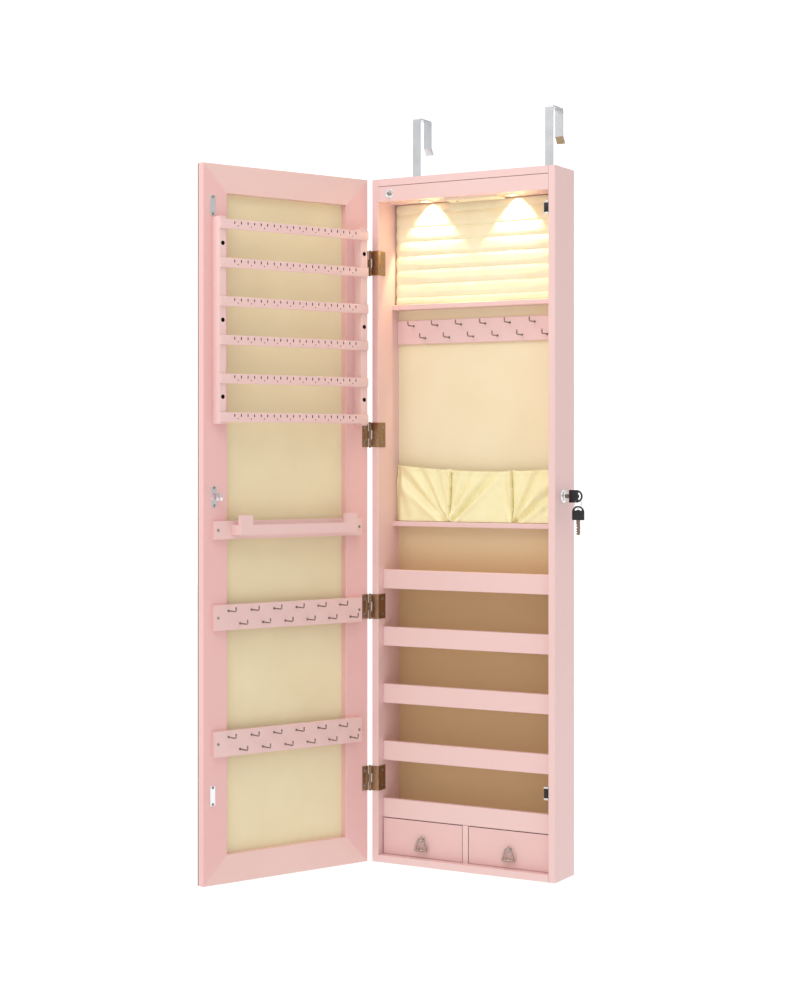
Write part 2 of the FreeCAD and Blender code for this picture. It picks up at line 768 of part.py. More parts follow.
def drawer(label, opening_x):
    """A front, a tray of two sides, a back and a floor, and a drop pull on a round post."""
    x = f"{opening_x} + drawer_clearance"
    z = "board + drawer_slide_gap"
    width = f"{OPENING_WIDTH} - 2 * drawer_clearance"
    middle = f"{opening_x} + {OPENING_WIDTH} / 2"
    post_hole = (16, "pull_stem_radius", "drawer_front_thickness / 2 + 1",
                 (f"({width}) / 2", -1, f"pull_z - ({z})"), TO_BACK)
    node(board((width, "drawer_front_thickness", f"{DRAWER_TOP} - ({z})"), (x, "drawer_front_y", z), HANGING,
               UPRIGHT, [], [post_hole], front_edges), f"{label}_drawer_front")
    y = "drawer_front_y + drawer_front_thickness"
    depth = f"{INNER_BACK} - drawer_clearance - ({y})"
    inner = f"({width}) - 2 * drawer_side"
    side = ("drawer_side", depth, "drawer_side_height")
    tray = [
        box(side, (x, y, z)),
        box(side, (f"{x} + ({width}) - drawer_side", y, z)),
        box((inner, "drawer_side", "drawer_side_height"),
            (f"{x} + drawer_side", f"{y} + ({depth}) - drawer_side", z)),
        box((inner, f"({depth}) - drawer_side", "drawer_floor"),
            (f"{x} + drawer_side", y, f"{z} + drawer_floor_lift")),
    ]
    node(group(tray), f"{label}_drawer_tray")
    pull_post(label, middle)
    pull_bail(label, middle)


BAIL_Y = "drawer_front_y - pull_post_length + bail_setback"


def pull_post(label, middle):
    """A round stud on a stem that sits in the drawer front, with a cross hole for its bail."""
    head = "pull_post_length - pull_head"
    stud = fused([
        prism(16, "pull_stem_radius", "drawer_front_thickness / 2 - pull_stem_gap",
              (0, 0, "pull_stem_gap - drawer_front_thickness / 2")),
        prism(16, "pull_post_radius", "pull_foot"),
        prism(16, "pull_waist_radius", head),
        prism(16, "pull_post_radius - pull_head_taper", "pull_head", (0, 0, head)),
    ], turn=TO_FRONT)
    hole = prism(16, "bail_wire + pull_clearance", "2 * pull_post_radius",
                 ("-pull_post_radius", f"{BAIL_Y} - drawer_front_y", 0), ALONG_X)
    node(cut(stud, [hole], (middle, "drawer_front_y", "pull_z"), HANGING), f"{label}_pull_post")


def pull_bail(label, middle):
    """A triangular drop: a thin bar through the post, two slanted arms and a thick bottom bar."""
    reach = "((bail_width - bail_top_width) / 2)"
    arm_length = f"sqrt({reach}^2 + bail_drop^2)"
    lean = f"atan({reach} / bail_drop)"
    top, bottom = "(bail_top_width + bail_wire)", "(bail_width + bail_bar)"
    pieces = [
        rod("bail_wire", top, (f"-{top} / 2", 0, 0), None, ALONG_X),
        prism(16, "bail_bar", bottom, (f"-{bottom} / 2", 0, "-bail_drop"), ALONG_X),
    ]
    for side in (-1, 1):
        turn = f"rotation(vector(0; 1; 0); 180 deg - {side} * {lean})"
        pieces.append(prism(8, "bail_wire", arm_length, (f"{side} * bail_top_width / 2", 0, 0), turn))
    node(fused(pieces, (middle, BAIL_Y, "pull_z"), HANGING), f"{label}_pull_bail")


# ---------------------------------------------------------------- hinges

KNUCKLE = "((hinge_height - 2 * knuckle_gap) / 3)"
LEAF_X = "(leaf_start - hinge_axis_x)"  # from the pin's axis to where a leaf leaves its knuckles
PIN_BORE = "(pin_radius + pin_clearance) / cos(180 / 12)"  # so that its flats clear the round pin
WING_SCREW_Y = "(leaf_wing / 2 + wing_screw_offset)"
HINGE_PITCH = "((body_height - 2 * hinge_base_z) / (hinge_count - 1))"


def barrel(z, length, face_y):
    """A knuckle about the pin's axis with the tongue that joins it to its leaf."""
    tongue_y = "-door_gap / 2" if face_y == "door" else "door_gap / 2 - leaf_thickness"
    return [
        prism(12, "knuckle_radius", length, (0, 0, z)),
        box((LEAF_X, "leaf_thickness", length), (0, tongue_y, z)),
    ]


def hinges():
    """Four butt hinges. The fixed leaf wraps round the side's front edge; the other lies on the door."""
    bore = prism(12, PIN_BORE, "hinge_height + 2", (0, 0, -1))
    corner = "board - hinge_axis_x"  # from the pin's axis to the side's inner face
    wrap = [
        box((f"{corner} + leaf_thickness - {LEAF_X}", "leaf_thickness", "hinge_height"),
            (LEAF_X, "door_gap / 2 - leaf_thickness", 0)),
        box(("leaf_thickness", "leaf_wing", "hinge_height"), (corner, "door_gap / 2", 0)),
    ]
    ends = barrel(0, KNUCKLE, "body") + barrel(f"hinge_height - {KNUCKLE}", KNUCKLE, "body")
    screw_heights = [f"hinge_height / 2 + {side} * leaf_screw_spacing / 2" for side in (-1, 1)]
    wing_middle = f"door_gap / 2 + {WING_SCREW_Y}"
    wing_holes = [screw_hole(6, (f"{corner} - 2", wing_middle, z), ALONG_X) for z in screw_heights]
    fixed_leaf = cut(fused(wrap + ends), [bore] + wing_holes)
    flap = box(("door_leaf_width - leaf_start", "leaf_thickness", "hinge_height"),
               (LEAF_X, "-door_gap / 2", 0))
    middle_knuckle = barrel(f"{KNUCKLE} + knuckle_gap", KNUCKLE, "door")
    flap_middle = f"{LEAF_X} + door_leaf_width / 2"
    flap_holes = []
    for z in screw_heights:
        flap_holes.append(screw_hole(6, (flap_middle, "-door_gap / 2 - 2", z), TO_BACK))
        flap_holes.append(screw_sink((flap_middle, "-door_gap / 2 + leaf_thickness - screw_head", z)))
    door_bore = prism(12, PIN_BORE, "hinge_height + 2", (0, 0, -1))
    swinging_leaf = cut(fused([flap] + middle_knuckle), [door_bore] + flap_holes)
    heads = [prism(12, "pin_head_radius", "pin_head", (0, 0, z)) for z in ("-pin_head", "hinge_height")]
    pin = fused([rod("pin_radius", "hinge_height")] + heads)
    axis = ("hinge_axis_x", "-door_gap / 2")
    count = int(number("hinge_count"))
    levels = [f"hinge_base_z + {i} * {HINGE_PITCH} - hinge_height / 2" for i in range(count)]
    node(group([copy_at(fixed_leaf, axis + (z,)) for z in levels]), "cabinet_hinge_leaves")
    node(group([copy_at(pin, axis + (z,)) for z in levels]), "hinge_pins")
    node(group([copy_at(swinging_leaf, axis + (z,)) for z in levels], SWUNG), "door_hinge_leaves")
    cabinet_screws = [("board + leaf_thickness", WING_SCREW_Y, f"{z} + {height}", ALONG_X)
                      for z in levels for height in screw_heights]
    sunk = "-door_gap + leaf_thickness - screw_head"
    door_screws = [(f"hinge_axis_x + {flap_middle}", sunk, f"{z} + {height}", TO_BACK)
                   for z in levels for height in screw_heights]
    return cabinet_screws, door_screws


# ---------------------------------------------------------------- door

DOOR_BACK = "-door_gap - frame_thickness"  # the frame's face towards the mirror
DOOR_WIDTH = "(body_width - 2 * door_margin)"
RACK_LENGTH = "(body_width - rack_x - rack_right_inset)"
RACK_HEIGHT = "(body_height - rack_top_drop - rack_z)"
SLAT_PITCH = f"(({RACK_HEIGHT} - slat_base - slat_height - slat_top_gap) / (slat_count - 1))"
DOOR_RAIL_LENGTH = "(body_width - door_rail_x - door_rail_right_inset)"
BRACELET_LENGTH = "(body_width - bracelet_front_x - bracelet_right_inset)"


def frame_member(label, length, at, turn):
    """A mitred frame member, lying along X: z = 0 is its outer edge and y = 0 its face to the cabinet."""
    body = new_body("member")
    pad = body.newObject("PartDesign::Pad", "Pad")
    mitred = [(0, 0), (length, 0), (f"{length} - frame_width", "frame_width"), ("frame_width", "frame_width")]
    pad.Profile = (outline(body, "XZ_Plane", mitred), [""])
    pad.setExpression("Length", bound("frame_thickness"))
    rebate = body.newObject("PartDesign::SubtractiveBox", "rebate")
    rebate.setExpression("Length", bound(length))
    rebate.setExpression("Width", bound("lining_board"))
    rebate.setExpression("Height", bound("lining_rebate + 1"))
    place(rebate, (0, "-frame_thickness", "frame_width - lining_rebate"))
    document.recompute()
    edges = [f"Edge{i}" for i, edge in enumerate(rebate.Shape.Edges, start=1)
             if edge.BoundBox.YMin > -1e-6 and edge.BoundBox.ZLength < 1e-6 and edge.BoundBox.XLength > 30]
    fillet = body.newObject("PartDesign::Fillet", "softened")
    fillet.Base = (rebate, edges)
    fillet.setExpression("Radius", bound("edge_round"))
    body.Tip = fillet
    node(place(body, at, SWUNG, turn), label)


def door_frame():
    left, right = "door_margin", "body_width - door_margin"
    frame_member("door_bottom_rail", DOOR_WIDTH, (left, "-door_gap", 0), UPRIGHT)
    frame_member("door_top_rail", DOOR_WIDTH, (right, "-door_gap", "body_height"), HALF_TURN)
    frame_member("door_hinge_stile", "body_height", (left, "-door_gap", "body_height"), ALONG_X)
    frame_member("door_latch_stile", "body_height", (right, "-door_gap", 0), QUARTER_BACK)
    rim = "(frame_width - lining_rebate)"
    node(box((f"{DOOR_WIDTH} - 2 * {rim}", "lining_board", f"body_height - 2 * {rim}"),
             (f"{left} + {rim}", DOOR_BACK, rim), SWUNG), "door_lining")
    glass = box((DOOR_WIDTH, "mirror_thickness", "body_height"))
    arris = document.addObject("Part::Chamfer", "arris")
    arris.Base = glass
    document.recompute()
    width = number("mirror_arris")
    arris.Edges = [(i, width, width) for i, edge in enumerate(glass.Shape.Edges, start=1)
                   if edge.BoundBox.YMax < 1e-6]
    node(place(arris, (left, f"{DOOR_BACK} - mirror_thickness", 0), SWUNG), "mirror")


def earring_rack():
    """Two uprights and the slats across them, each slat with slots for earring wires."""
    holes = ["rack_hole_base", f"{RACK_HEIGHT} / 2", f"{RACK_HEIGHT} - rack_hole_base"]
    bores = [(12, "rack_hole_radius", "rack_hole_depth",
              ("upright_width / 2", "upright_depth - rack_hole_depth", z), TO_BACK) for z in holes]
    upright = board(("upright_width", "upright_depth", RACK_HEIGHT), bores=bores)
    lefts = ("rack_x", "body_width - rack_right_inset - upright_width")
    node(group([copy_at(upright, (x, "-door_gap", "rack_z")) for x in lefts], SWUNG), "rack_uprights")
    slat = earring_slat()
    levels = [f"rack_z + slat_base + {i} * {SLAT_PITCH}" for i in range(int(number("slat_count")))]
    slats = [copy_at(slat, ("rack_x", "-door_gap + upright_depth", z)) for z in levels]
    node(group(slats, SWUNG), "earring_slats")
    middles = ("rack_x + upright_width / 2", "body_width - rack_right_inset - upright_width / 2")
    return [(x, "-door_gap + upright_depth - rack_hole_depth", f"rack_z + {z}", TO_BACK)
            for x in middles for z in holes]


def earring_slat():
    """One slat: a row of short upright slots for earring wires."""
    body = new_body("slat")
    length = RACK_LENGTH
    blank = body.newObject("PartDesign::AdditiveBox", "blank")
    for side, expression in zip(("Length", "Width", "Height"), (length, "slat_thickness", "slat_height")):
        blank.setExpression(side, bound(expression))
    count = int(number("slot_count"))
    first_slot = f"({length} - ({count} - 1) * slot_pitch - slot_width) / 2"
    slot = body.newObject("PartDesign::SubtractiveBox", "slot")
    slot_size = ("slot_width", "slat_thickness + 2", "slot_height")
    for side, expression in zip(("Length", "Width", "Height"), slot_size):
        slot.setExpression(side, bound(expression))
    place(slot, (first_slot, -1, "slot_low"))
    document.recompute()
    row_of(body, slot, count, f"({count} - 1) * slot_pitch")
    return body


def row_of(body, feature, count, length):
    pattern = body.newObject("PartDesign::LinearPattern", "row")
    pattern.Originals = [feature]
    pattern.Direction = (origin_feature(body, "X_Axis"), [""])
    pattern.setExpression("Length", bound(length))
    pattern.Occurrences = count
    body.Tip = pattern
    document.recompute()


def bracelet_holder():
    """A back board on the frame and a bar in front of it on two arms, its ends turned up as tabs."""
    node(board((DOOR_RAIL_LENGTH, "door_rail_thickness", "bracelet_board_height"),
               ("door_rail_x", "-door_gap", "bracelet_z"), SWUNG), "bracelet_board")
    low = "bracelet_z + bracelet_bar_lift"
    bar = padded([
        (0, 0),
        (BRACELET_LENGTH, 0),
        (BRACELET_LENGTH, "bracelet_rise"),
        (f"{BRACELET_LENGTH} - bracelet_tab_width", "bracelet_rise"),
        (f"{BRACELET_LENGTH} - bracelet_tab_width", "bracelet_bar_height"),
        ("bracelet_tab_width", "bracelet_bar_height"),
        ("bracelet_tab_width", "bracelet_rise"),
        (0, "bracelet_rise"),
    ], "bracelet_bar_thickness", "XZ_Plane", ("bracelet_front_x", "-door_gap + bracelet_reach", low))
    arm = box(("bracelet_bar_thickness", "bracelet_reach - bracelet_bar_thickness - door_rail_thickness",
               "bracelet_bar_height"))
    arm_y = "-door_gap + door_rail_thickness"
    arms = [copy_at(arm, (x, arm_y, low)) for x in
            ("bracelet_front_x", "body_width - bracelet_right_inset - bracelet_bar_thickness")]
    node(group([bar] + arms, SWUNG), "bracelet_bar")
    return rail_screws("bracelet_z + bracelet_board_height / 2")


def rail_screws(z):
    ends = ("door_rail_x + rail_screw_inset", "body_width - door_rail_right_inset - rail_screw_inset")
    return [(x, "-door_gap + door_rail_thickness", z, TO_BACK) for x in ends]


def door_hook_rails():
    rail = board((DOOR_RAIL_LENGTH, "door_rail_thickness", "hook_rail_height"))
    hook = wire_hook()
    levels = ("upper_hook_rail_z", "lower_hook_rail_z")
    rails = [copy_at(rail, ("door_rail_x", "-door_gap", z)) for z in levels]
    node(group(rails, SWUNG), "door_hook_rails")
    hooks = []
    for level in levels:
        middle = f"{level} + hook_rail_height / 2"
        face = "-door_gap + door_rail_thickness"
        places = hook_places(face, "body_width / 2", middle, False)
        hooks += [copy_at(hook, at, "rotation(vector(0; 0; 1); 180)") for at in places]
    node(group(hooks, SWUNG), "door_hooks")
    return [at for level in levels for at in rail_screws(f"{level} + hook_rail_height / 2")]


# ---------------------------------------------------------------- catches and lock


CATCH_SPACING = "(body_height - catch_z - catch_top_drop)"
STRIKE_X = "(body_width - strike_edge)"


def catches():
    """Two magnetic catches inside the right side, with steel strikes on the door's latch stile."""
    x = "body_width - board - catch_width"
    y = "strike_thickness + catch_air - door_gap"
    housing = box(("catch_width", "catch_depth", "catch_height - 2 * catch_pole"), (0, 0, "catch_pole"))
    pole = box(("catch_width", "catch_depth", "catch_pole"))
    solids = []
    for index in range(2):
        z = f"catch_z + {index} * {CATCH_SPACING} - catch_height / 2"
        solids += [copy_at(housing, (x, y, z)), copy_at(pole, (x, y, z)),
                   copy_at(pole, (x, y, f"{z} + catch_height - catch_pole"))]
    node(group(solids), "magnetic_catches")
    ends = ("strike_inset", "strike_height - strike_inset")
    bores = [(8, "screw_hole_radius", "strike_thickness + 2", ("strike_width / 2", -1, z), TO_BACK)
             for z in ends]
    strike = board(("strike_width", "strike_thickness", "strike_height"), bores=bores)
    middles = [f"catch_z + {i} * {CATCH_SPACING}" for i in range(2)]
    strikes = [copy_at(strike, (STRIKE_X, "-door_gap", f"{z} - strike_height / 2")) for z in middles]
    node(group(strikes, SWUNG), "magnet_strikes")
    return [(f"{STRIKE_X} + strike_width / 2", "-door_gap + strike_thickness",
             f"{z} + {side} * (strike_height / 2 - strike_inset)", TO_BACK)
            for z in middles for side in (-1, 1)]


PLUG_X = "body_width - lock_body_length - lock_clearance"
CAM_X = f"{PLUG_X} - cam_thickness"
TONGUE_X = f"({CAM_X} - tongue_gap - tongue_thickness)"


def lock():
    """A cam lock through the right side: fixed barrel and nut; plug, cam and key turn together."""
    centre = ("body_width", "lock_y", "lock_z")
    barrel = fused([
        prism(24, "lock_body_radius", "lock_body_length + lock_bezel", (0, 0, "-lock_body_length")),
        prism(24, "lock_bezel_radius", "lock_bezel"),
    ])
    plug_bore = rod("plug_radius + plug_clearance", "lock_body_length + lock_bezel + 2",
                    (0, 0, "-lock_body_length - 1"))
    node(cut(barrel, [plug_bore], centre, HANGING, ALONG_X), "lock_barrel")
    nut_body = prism(6, "lock_nut_flats / 1.732", "lock_nut")
    nut_bore = prism(24, "lock_body_radius", "lock_nut + 2", (0, 0, -1))
    node(cut(nut_body, [nut_bore], ("body_width - board - lock_nut", "lock_y", "lock_z"), HANGING, ALONG_X),
         "lock_nut")
    plug_length = "(lock_body_length + lock_clearance + lock_bezel + plug_proud)"
    plug_core = rod("plug_radius", plug_length)
    keyway = box(("key_blade_width + 2 * fit_clearance", "key_blade_thickness + 2 * fit_clearance",
                  "key_blade_length + 1"),
                 ("-key_blade_width / 2 - fit_clearance", "-key_blade_thickness / 2 - fit_clearance",
                  f"{plug_length} - key_blade_length + key_neck - keyway_slack"))
    tenon = box(("cam_square", "cam_square", "cam_thickness + tenon_proud"),
                ("-cam_square / 2", "-cam_square / 2", "-cam_thickness - tenon_proud"))
    node(cut(fused([plug_core, tenon]), [keyway], (PLUG_X, "lock_y", "lock_z"), HANGING, ALONG_X),
         "lock_plug")
    node(cam(), "lock_cam")
    key_in_lock()
    return strike_for_lock()


def polar(radius, degrees):
    """A point of the cam's outline, in the lock's own Y and Z, as expressions."""
    return (f"({radius}) * cos({degrees})", f"({radius}) * sin({degrees})")


def cam():
    """A hooked cam. Unlocked, its finger hangs below the door's tongue; a quarter turn takes it in front."""
    inner, outer, hub = "cam_finger_inner", "cam_finger_outer", "cam_hub_radius"
    tip, root, heel, top, front = 240, 302, 342, 82, 192  # directions from the plug, in degrees
    hook = padded([
        polar(hub, root) + (hub, -1),
        polar(inner, root),
        polar(inner, tip) + (inner, 1),
        polar(outer, tip),
        polar(outer, (tip + heel) / 2) + (outer, -1),
        polar(outer, heel) + (outer, -1),
        polar(hub, heel),
        polar(hub, top) + (hub, -1),
        polar(hub, front) + (hub, -1),
    ], "cam_thickness", "YZ_Plane")
    square = box(("cam_thickness + 2", "cam_square", "cam_square"),
                 (-1, "-cam_square / 2", "-cam_square / 2"))
    return cut(hook, [square], (CAM_X, "lock_y", "lock_z"), HANGING)


def strike_for_lock():
    """The plate on the latch stile, with a tongue that reaches in beside the cam and ends in a lip."""
    thick = "tongue_thickness"
    plate_x = f"{TONGUE_X} - strike_width / 2"
    ends = ("strike_inset", "lock_strike_height - strike_inset")
    bores = [(8, "screw_hole_radius", "strike_thickness + 2", ("strike_width / 2", -1, z), TO_BACK)
             for z in ends]
    plate = board(("strike_width", "strike_thickness", "lock_strike_height"),
                  (plate_x, "-door_gap", "lock_z - lock_strike_height / 2"), bores=bores)
    low = "lock_z - tongue_height / 2"
    tongue = box((thick, "tongue_reach", "tongue_height"), (TONGUE_X, "-door_gap", low))
    lip = box(("tongue_lip", thick, "tongue_height"),
              (TONGUE_X, f"-door_gap + tongue_reach - {thick}", low))
    window = box(("strike_width / 2 - window_rim", "strike_thickness + 2", "tongue_height"),
                 (f"{TONGUE_X} + {thick} + fit_clearance", "-door_gap - 1", low))
    node(cut(fused([plate, tongue, lip]), [window], (0, 0, 0), SWUNG), "lock_strike")
    reach = "(lock_strike_height / 2 - strike_inset)"
    return [(f"{plate_x} + strike_width / 2", "-door_gap + strike_thickness",
             f"lock_z + {side} * {reach}", TO_BACK) for side in (-1, 1)]


def key_outline():
    """The key's head in its own plane: x runs from the blade to the round end, y across."""
    half = "key_head_width / 2"
    flat = "key_head_length - key_head_width / 2"
    return [
        (0, f"-({half})"),
        (flat, f"-({half})"),
        ("key_head_length", 0, half, -1),
        (flat, half, half, -1),
        (0, half),
    ]


def slot_outline():
    """The curved slot for the ring, a band between two arcs about the round end's centre."""
    outer = "key_head_width / 2 - key_rim"
    inner = "key_head_width / 2 - key_rim - key_slot_width"
    middle = "key_head_length - key_head_width / 2"

    def point(radius, side):
        turn = f"{side} * key_slot_angle"
        return (f"{middle} + ({radius}) * cos({turn})", f"({radius}) * sin({turn})")

    end = "key_slot_width / 2"
    return [
        point(inner, -1),
        point(outer, -1) + (end, -1),
        point(outer, 0) + (outer, -1),
        point(outer, 1) + (outer, -1),
        point(inner, 1) + (end, -1),
        point(inner, 0) + (inner, 1),
    ]


def key_solids():
    """The moulded head and the steel blade of a key, blade towards -X, head from x = 0."""
    head = padded(key_outline(), "key_head_thickness", "XZ_Plane", both_ways=True)
    slot = padded(slot_outline(), "key_head_thickness + 2", "XZ_Plane", both_ways=True)
    blade = padded([
        ("-key_blade_length", -1),
        ("-key_blade_length + key_tip", "-key_blade_width / 2"),
        (0, "-key_blade_width / 2"),
        (0, "key_blade_width / 2"),
        ("-key_blade_length + key_tip", "key_blade_width / 2"),
        ("-key_blade_length", 1),
    ], "key_blade_thickness", "XZ_Plane", both_ways=True)
    return [cut(head, [slot]), blade]


KEY_X = "body_width + lock_bezel + plug_proud + key_neck"
SLOT_MIDDLE = "(key_head_width / 2 - key_rim - key_slot_width / 2)"
RING_TOP_X = f"{KEY_X} + key_head_length - key_head_width / 2 + {SLOT_MIDDLE} * cos(key_slot_angle)"
RING_TOP_Z = f"lock_z - {SLOT_MIDDLE} * sin(key_slot_angle)"


def key_in_lock():
    """The key in the lock, the ring through its head, and the spare key hanging from the ring."""
    node(group([copy_at(solid, (KEY_X, "lock_y", "lock_z")) for solid in key_solids()]), "lock_key")
    disc = prism(24, "ring_radius + ring_wire", "2 * ring_wire", (0, 0, "-ring_wire"))
    eye = prism(24, "ring_radius - ring_wire", "4 * ring_wire", (0, 0, "-2 * ring_wire"))
    stand = "rotation(vector(0; 0; 1); ring_turn) * rotation(vector(1; 0; 0); 90)"
    node(cut(disc, [eye], (RING_TOP_X, "lock_y", f"{RING_TOP_Z} - ring_radius"), HANGING, stand), "key_ring")
    low = f"{RING_TOP_Z} - 2 * ring_radius"
    spare_z = f"{low} + ring_slack - (key_head_length - key_rim)"
    hang = "rotation(vector(0; 1; 0); -90)"
    node(group([copy_at(solid, (RING_TOP_X, "lock_y", spare_z), hang) for solid in key_solids()]),
         "spare_key")


# ---------------------------------------------------------------- fasteners


def fasteners(cabinet_places, door_places, rail_places):
    """Every wood screw, as one group on the cabinet and one on the door, where the rails take long ones."""
    short, long = screw("screw_length"), screw("rail_screw_length")

    def driven(wood_screw, places):
        return [copy_at(wood_screw, (x, y, z), turn) for x, y, z, turn in places]

    node(group(driven(short, cabinet_places)), "cabinet_screws")
    node(group(driven(short, door_places) + driven(long, rail_places), SWUNG), "door_screws")


# ---------------------------------------------------------------- assembly


def main():
    body_shell()
    cabinet_places = light_box()
    door_switch()
    cabinet_places += hanging_hooks()
    shelves()
    ring_pad()
    pouch()
    necklace_rail()
    drawers()
    fixed_places, door_places = hinges()
    cabinet_places += fixed_places
    door_frame()
    door_places += earring_rack()
    rail_places = bracelet_holder() + door_hook_rails()
    door_places += catches()
    door_places += lock()
    fasteners(cabinet_places, door_places, rail_places)
    document.recompute()
    export()


def export():
    """Writes each sub-part, after checking that nothing in the document failed."""
    for item in document.Objects:
        if "Invalid" in item.State or "Error" in item.State:
            raise RuntimeError(f"{item.Name} ({item.Label}) failed: {item.State}")
    labels = [piece.Label for piece in nodes]
    if len(set(labels)) != len(labels):
        raise RuntimeError("two sub-parts share a label")
    for piece in nodes:
        if piece.Shape.isNull() or not piece.Shape.isValid():
            raise RuntimeError(f"{piece.Label} has no valid shape")
    os.makedirs("parts", exist_ok=True)
    for piece in nodes:
        piece.Shape.exportStep(os.path.join("parts", piece.Label + ".step"))
        print(f"{piece.Label}: {len(piece.Shape.Solids)} solids, {piece.Shape.Volume / 1000:.1f} cm3")
    print(len(nodes), "nodes")


main()
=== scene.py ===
import json
import logging
import math
from collections.abc import Callable, Iterable
from dataclasses import dataclass, field
from enum import Enum
from typing import Any

import bmesh
import bpy
from mathutils import Matrix, Vector

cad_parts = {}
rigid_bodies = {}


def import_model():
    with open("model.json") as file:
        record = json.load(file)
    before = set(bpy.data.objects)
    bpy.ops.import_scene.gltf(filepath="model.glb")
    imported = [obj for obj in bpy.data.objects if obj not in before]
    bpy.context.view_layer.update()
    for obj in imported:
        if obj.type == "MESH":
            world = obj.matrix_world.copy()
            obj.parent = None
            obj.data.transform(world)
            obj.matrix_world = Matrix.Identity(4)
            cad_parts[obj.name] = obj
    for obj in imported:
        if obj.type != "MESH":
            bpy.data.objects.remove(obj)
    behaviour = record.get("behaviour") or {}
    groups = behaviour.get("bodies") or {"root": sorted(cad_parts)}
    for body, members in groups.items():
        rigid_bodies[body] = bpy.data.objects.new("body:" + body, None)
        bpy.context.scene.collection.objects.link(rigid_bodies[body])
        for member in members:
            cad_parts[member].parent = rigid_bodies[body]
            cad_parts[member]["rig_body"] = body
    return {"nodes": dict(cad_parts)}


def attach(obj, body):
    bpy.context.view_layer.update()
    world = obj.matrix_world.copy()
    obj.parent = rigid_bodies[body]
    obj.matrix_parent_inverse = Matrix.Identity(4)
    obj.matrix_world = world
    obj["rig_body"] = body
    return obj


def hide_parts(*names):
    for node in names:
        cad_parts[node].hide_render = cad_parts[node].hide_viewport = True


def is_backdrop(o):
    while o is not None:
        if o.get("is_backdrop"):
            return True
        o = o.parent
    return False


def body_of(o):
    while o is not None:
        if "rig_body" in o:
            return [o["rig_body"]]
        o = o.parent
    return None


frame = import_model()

log = logging.getLogger("jewelry_cabinet")

MM = 0.001
WAVE_SPAN = 0.314  # a wave texture of scale 1 repeats at this distance
GLOSS_LOW, GLOSS_HIGH = 0.85, 1.15  # how far the gloss wanders over a surface
CORNER = Vector((-0.175, -0.081, -1.314))  # the cabinet body's left, front, bottom corner
PIN_AXIS = CORNER + Vector((-3.4, -1.5, 0)) * MM  # the hinge pins
DOOR_ANGLE = 111.8

# Pieces are laid out in millimetres in the cabinet's own frame, from CORNER: X right, Y back, Z up.
# Pieces on the door are laid out as if it were shut, and DOOR then swings them open.
CABINET = Matrix.Translation(CORNER) @ Matrix.Scale(MM, 4)
DOOR = (
    Matrix.Translation(PIN_AXIS)
    @ Matrix.Rotation(math.radians(-DOOR_ANGLE), 4, "Z")
    @ Matrix.Translation(-PIN_AXIS)
    @ CABINET
)

Point = tuple[float, float, float]
Links = dict[Any, Any]


# ---------------------------------------------------------------- finishes


def linear(code: str) -> tuple[float, float, float, float]:
    """Turns an sRGB hex colour into linear RGBA.

    Args:
        code: The colour as "#RRGGBB".

    Returns:
        The linear colour with full alpha.
    """
    parts = [int(code[i : i + 2], 16) / 255 for i in (1, 3, 5)]
    light = [c / 12.92 if c <= 0.04045 else ((c + 0.055) / 1.055) ** 2.4 for c in parts]
    return (*light, 1.0)


def add(
    tree: bpy.types.NodeTree, kind: str, settings: Links | None = None, links: Links | None = None
) -> Any:
    """Adds one shader node.

    Args:
        tree: The material's node tree.
        kind: The node's type.
        settings: Socket values and properties by name, or by number where names repeat.
        links: The output that feeds each input.

    Returns:
        The node.
    """
    made = tree.nodes.new(kind)
    for name, value in (settings or {}).items():
        if not isinstance(name, int) and hasattr(made, name):
            setattr(made, name, value)
    for name, value in (settings or {}).items():
        if isinstance(name, int) or not hasattr(made, name):
            made.inputs[name].default_value = value
    for name, source in (links or {}).items():
        tree.links.new(source, made.inputs[name])
    return made


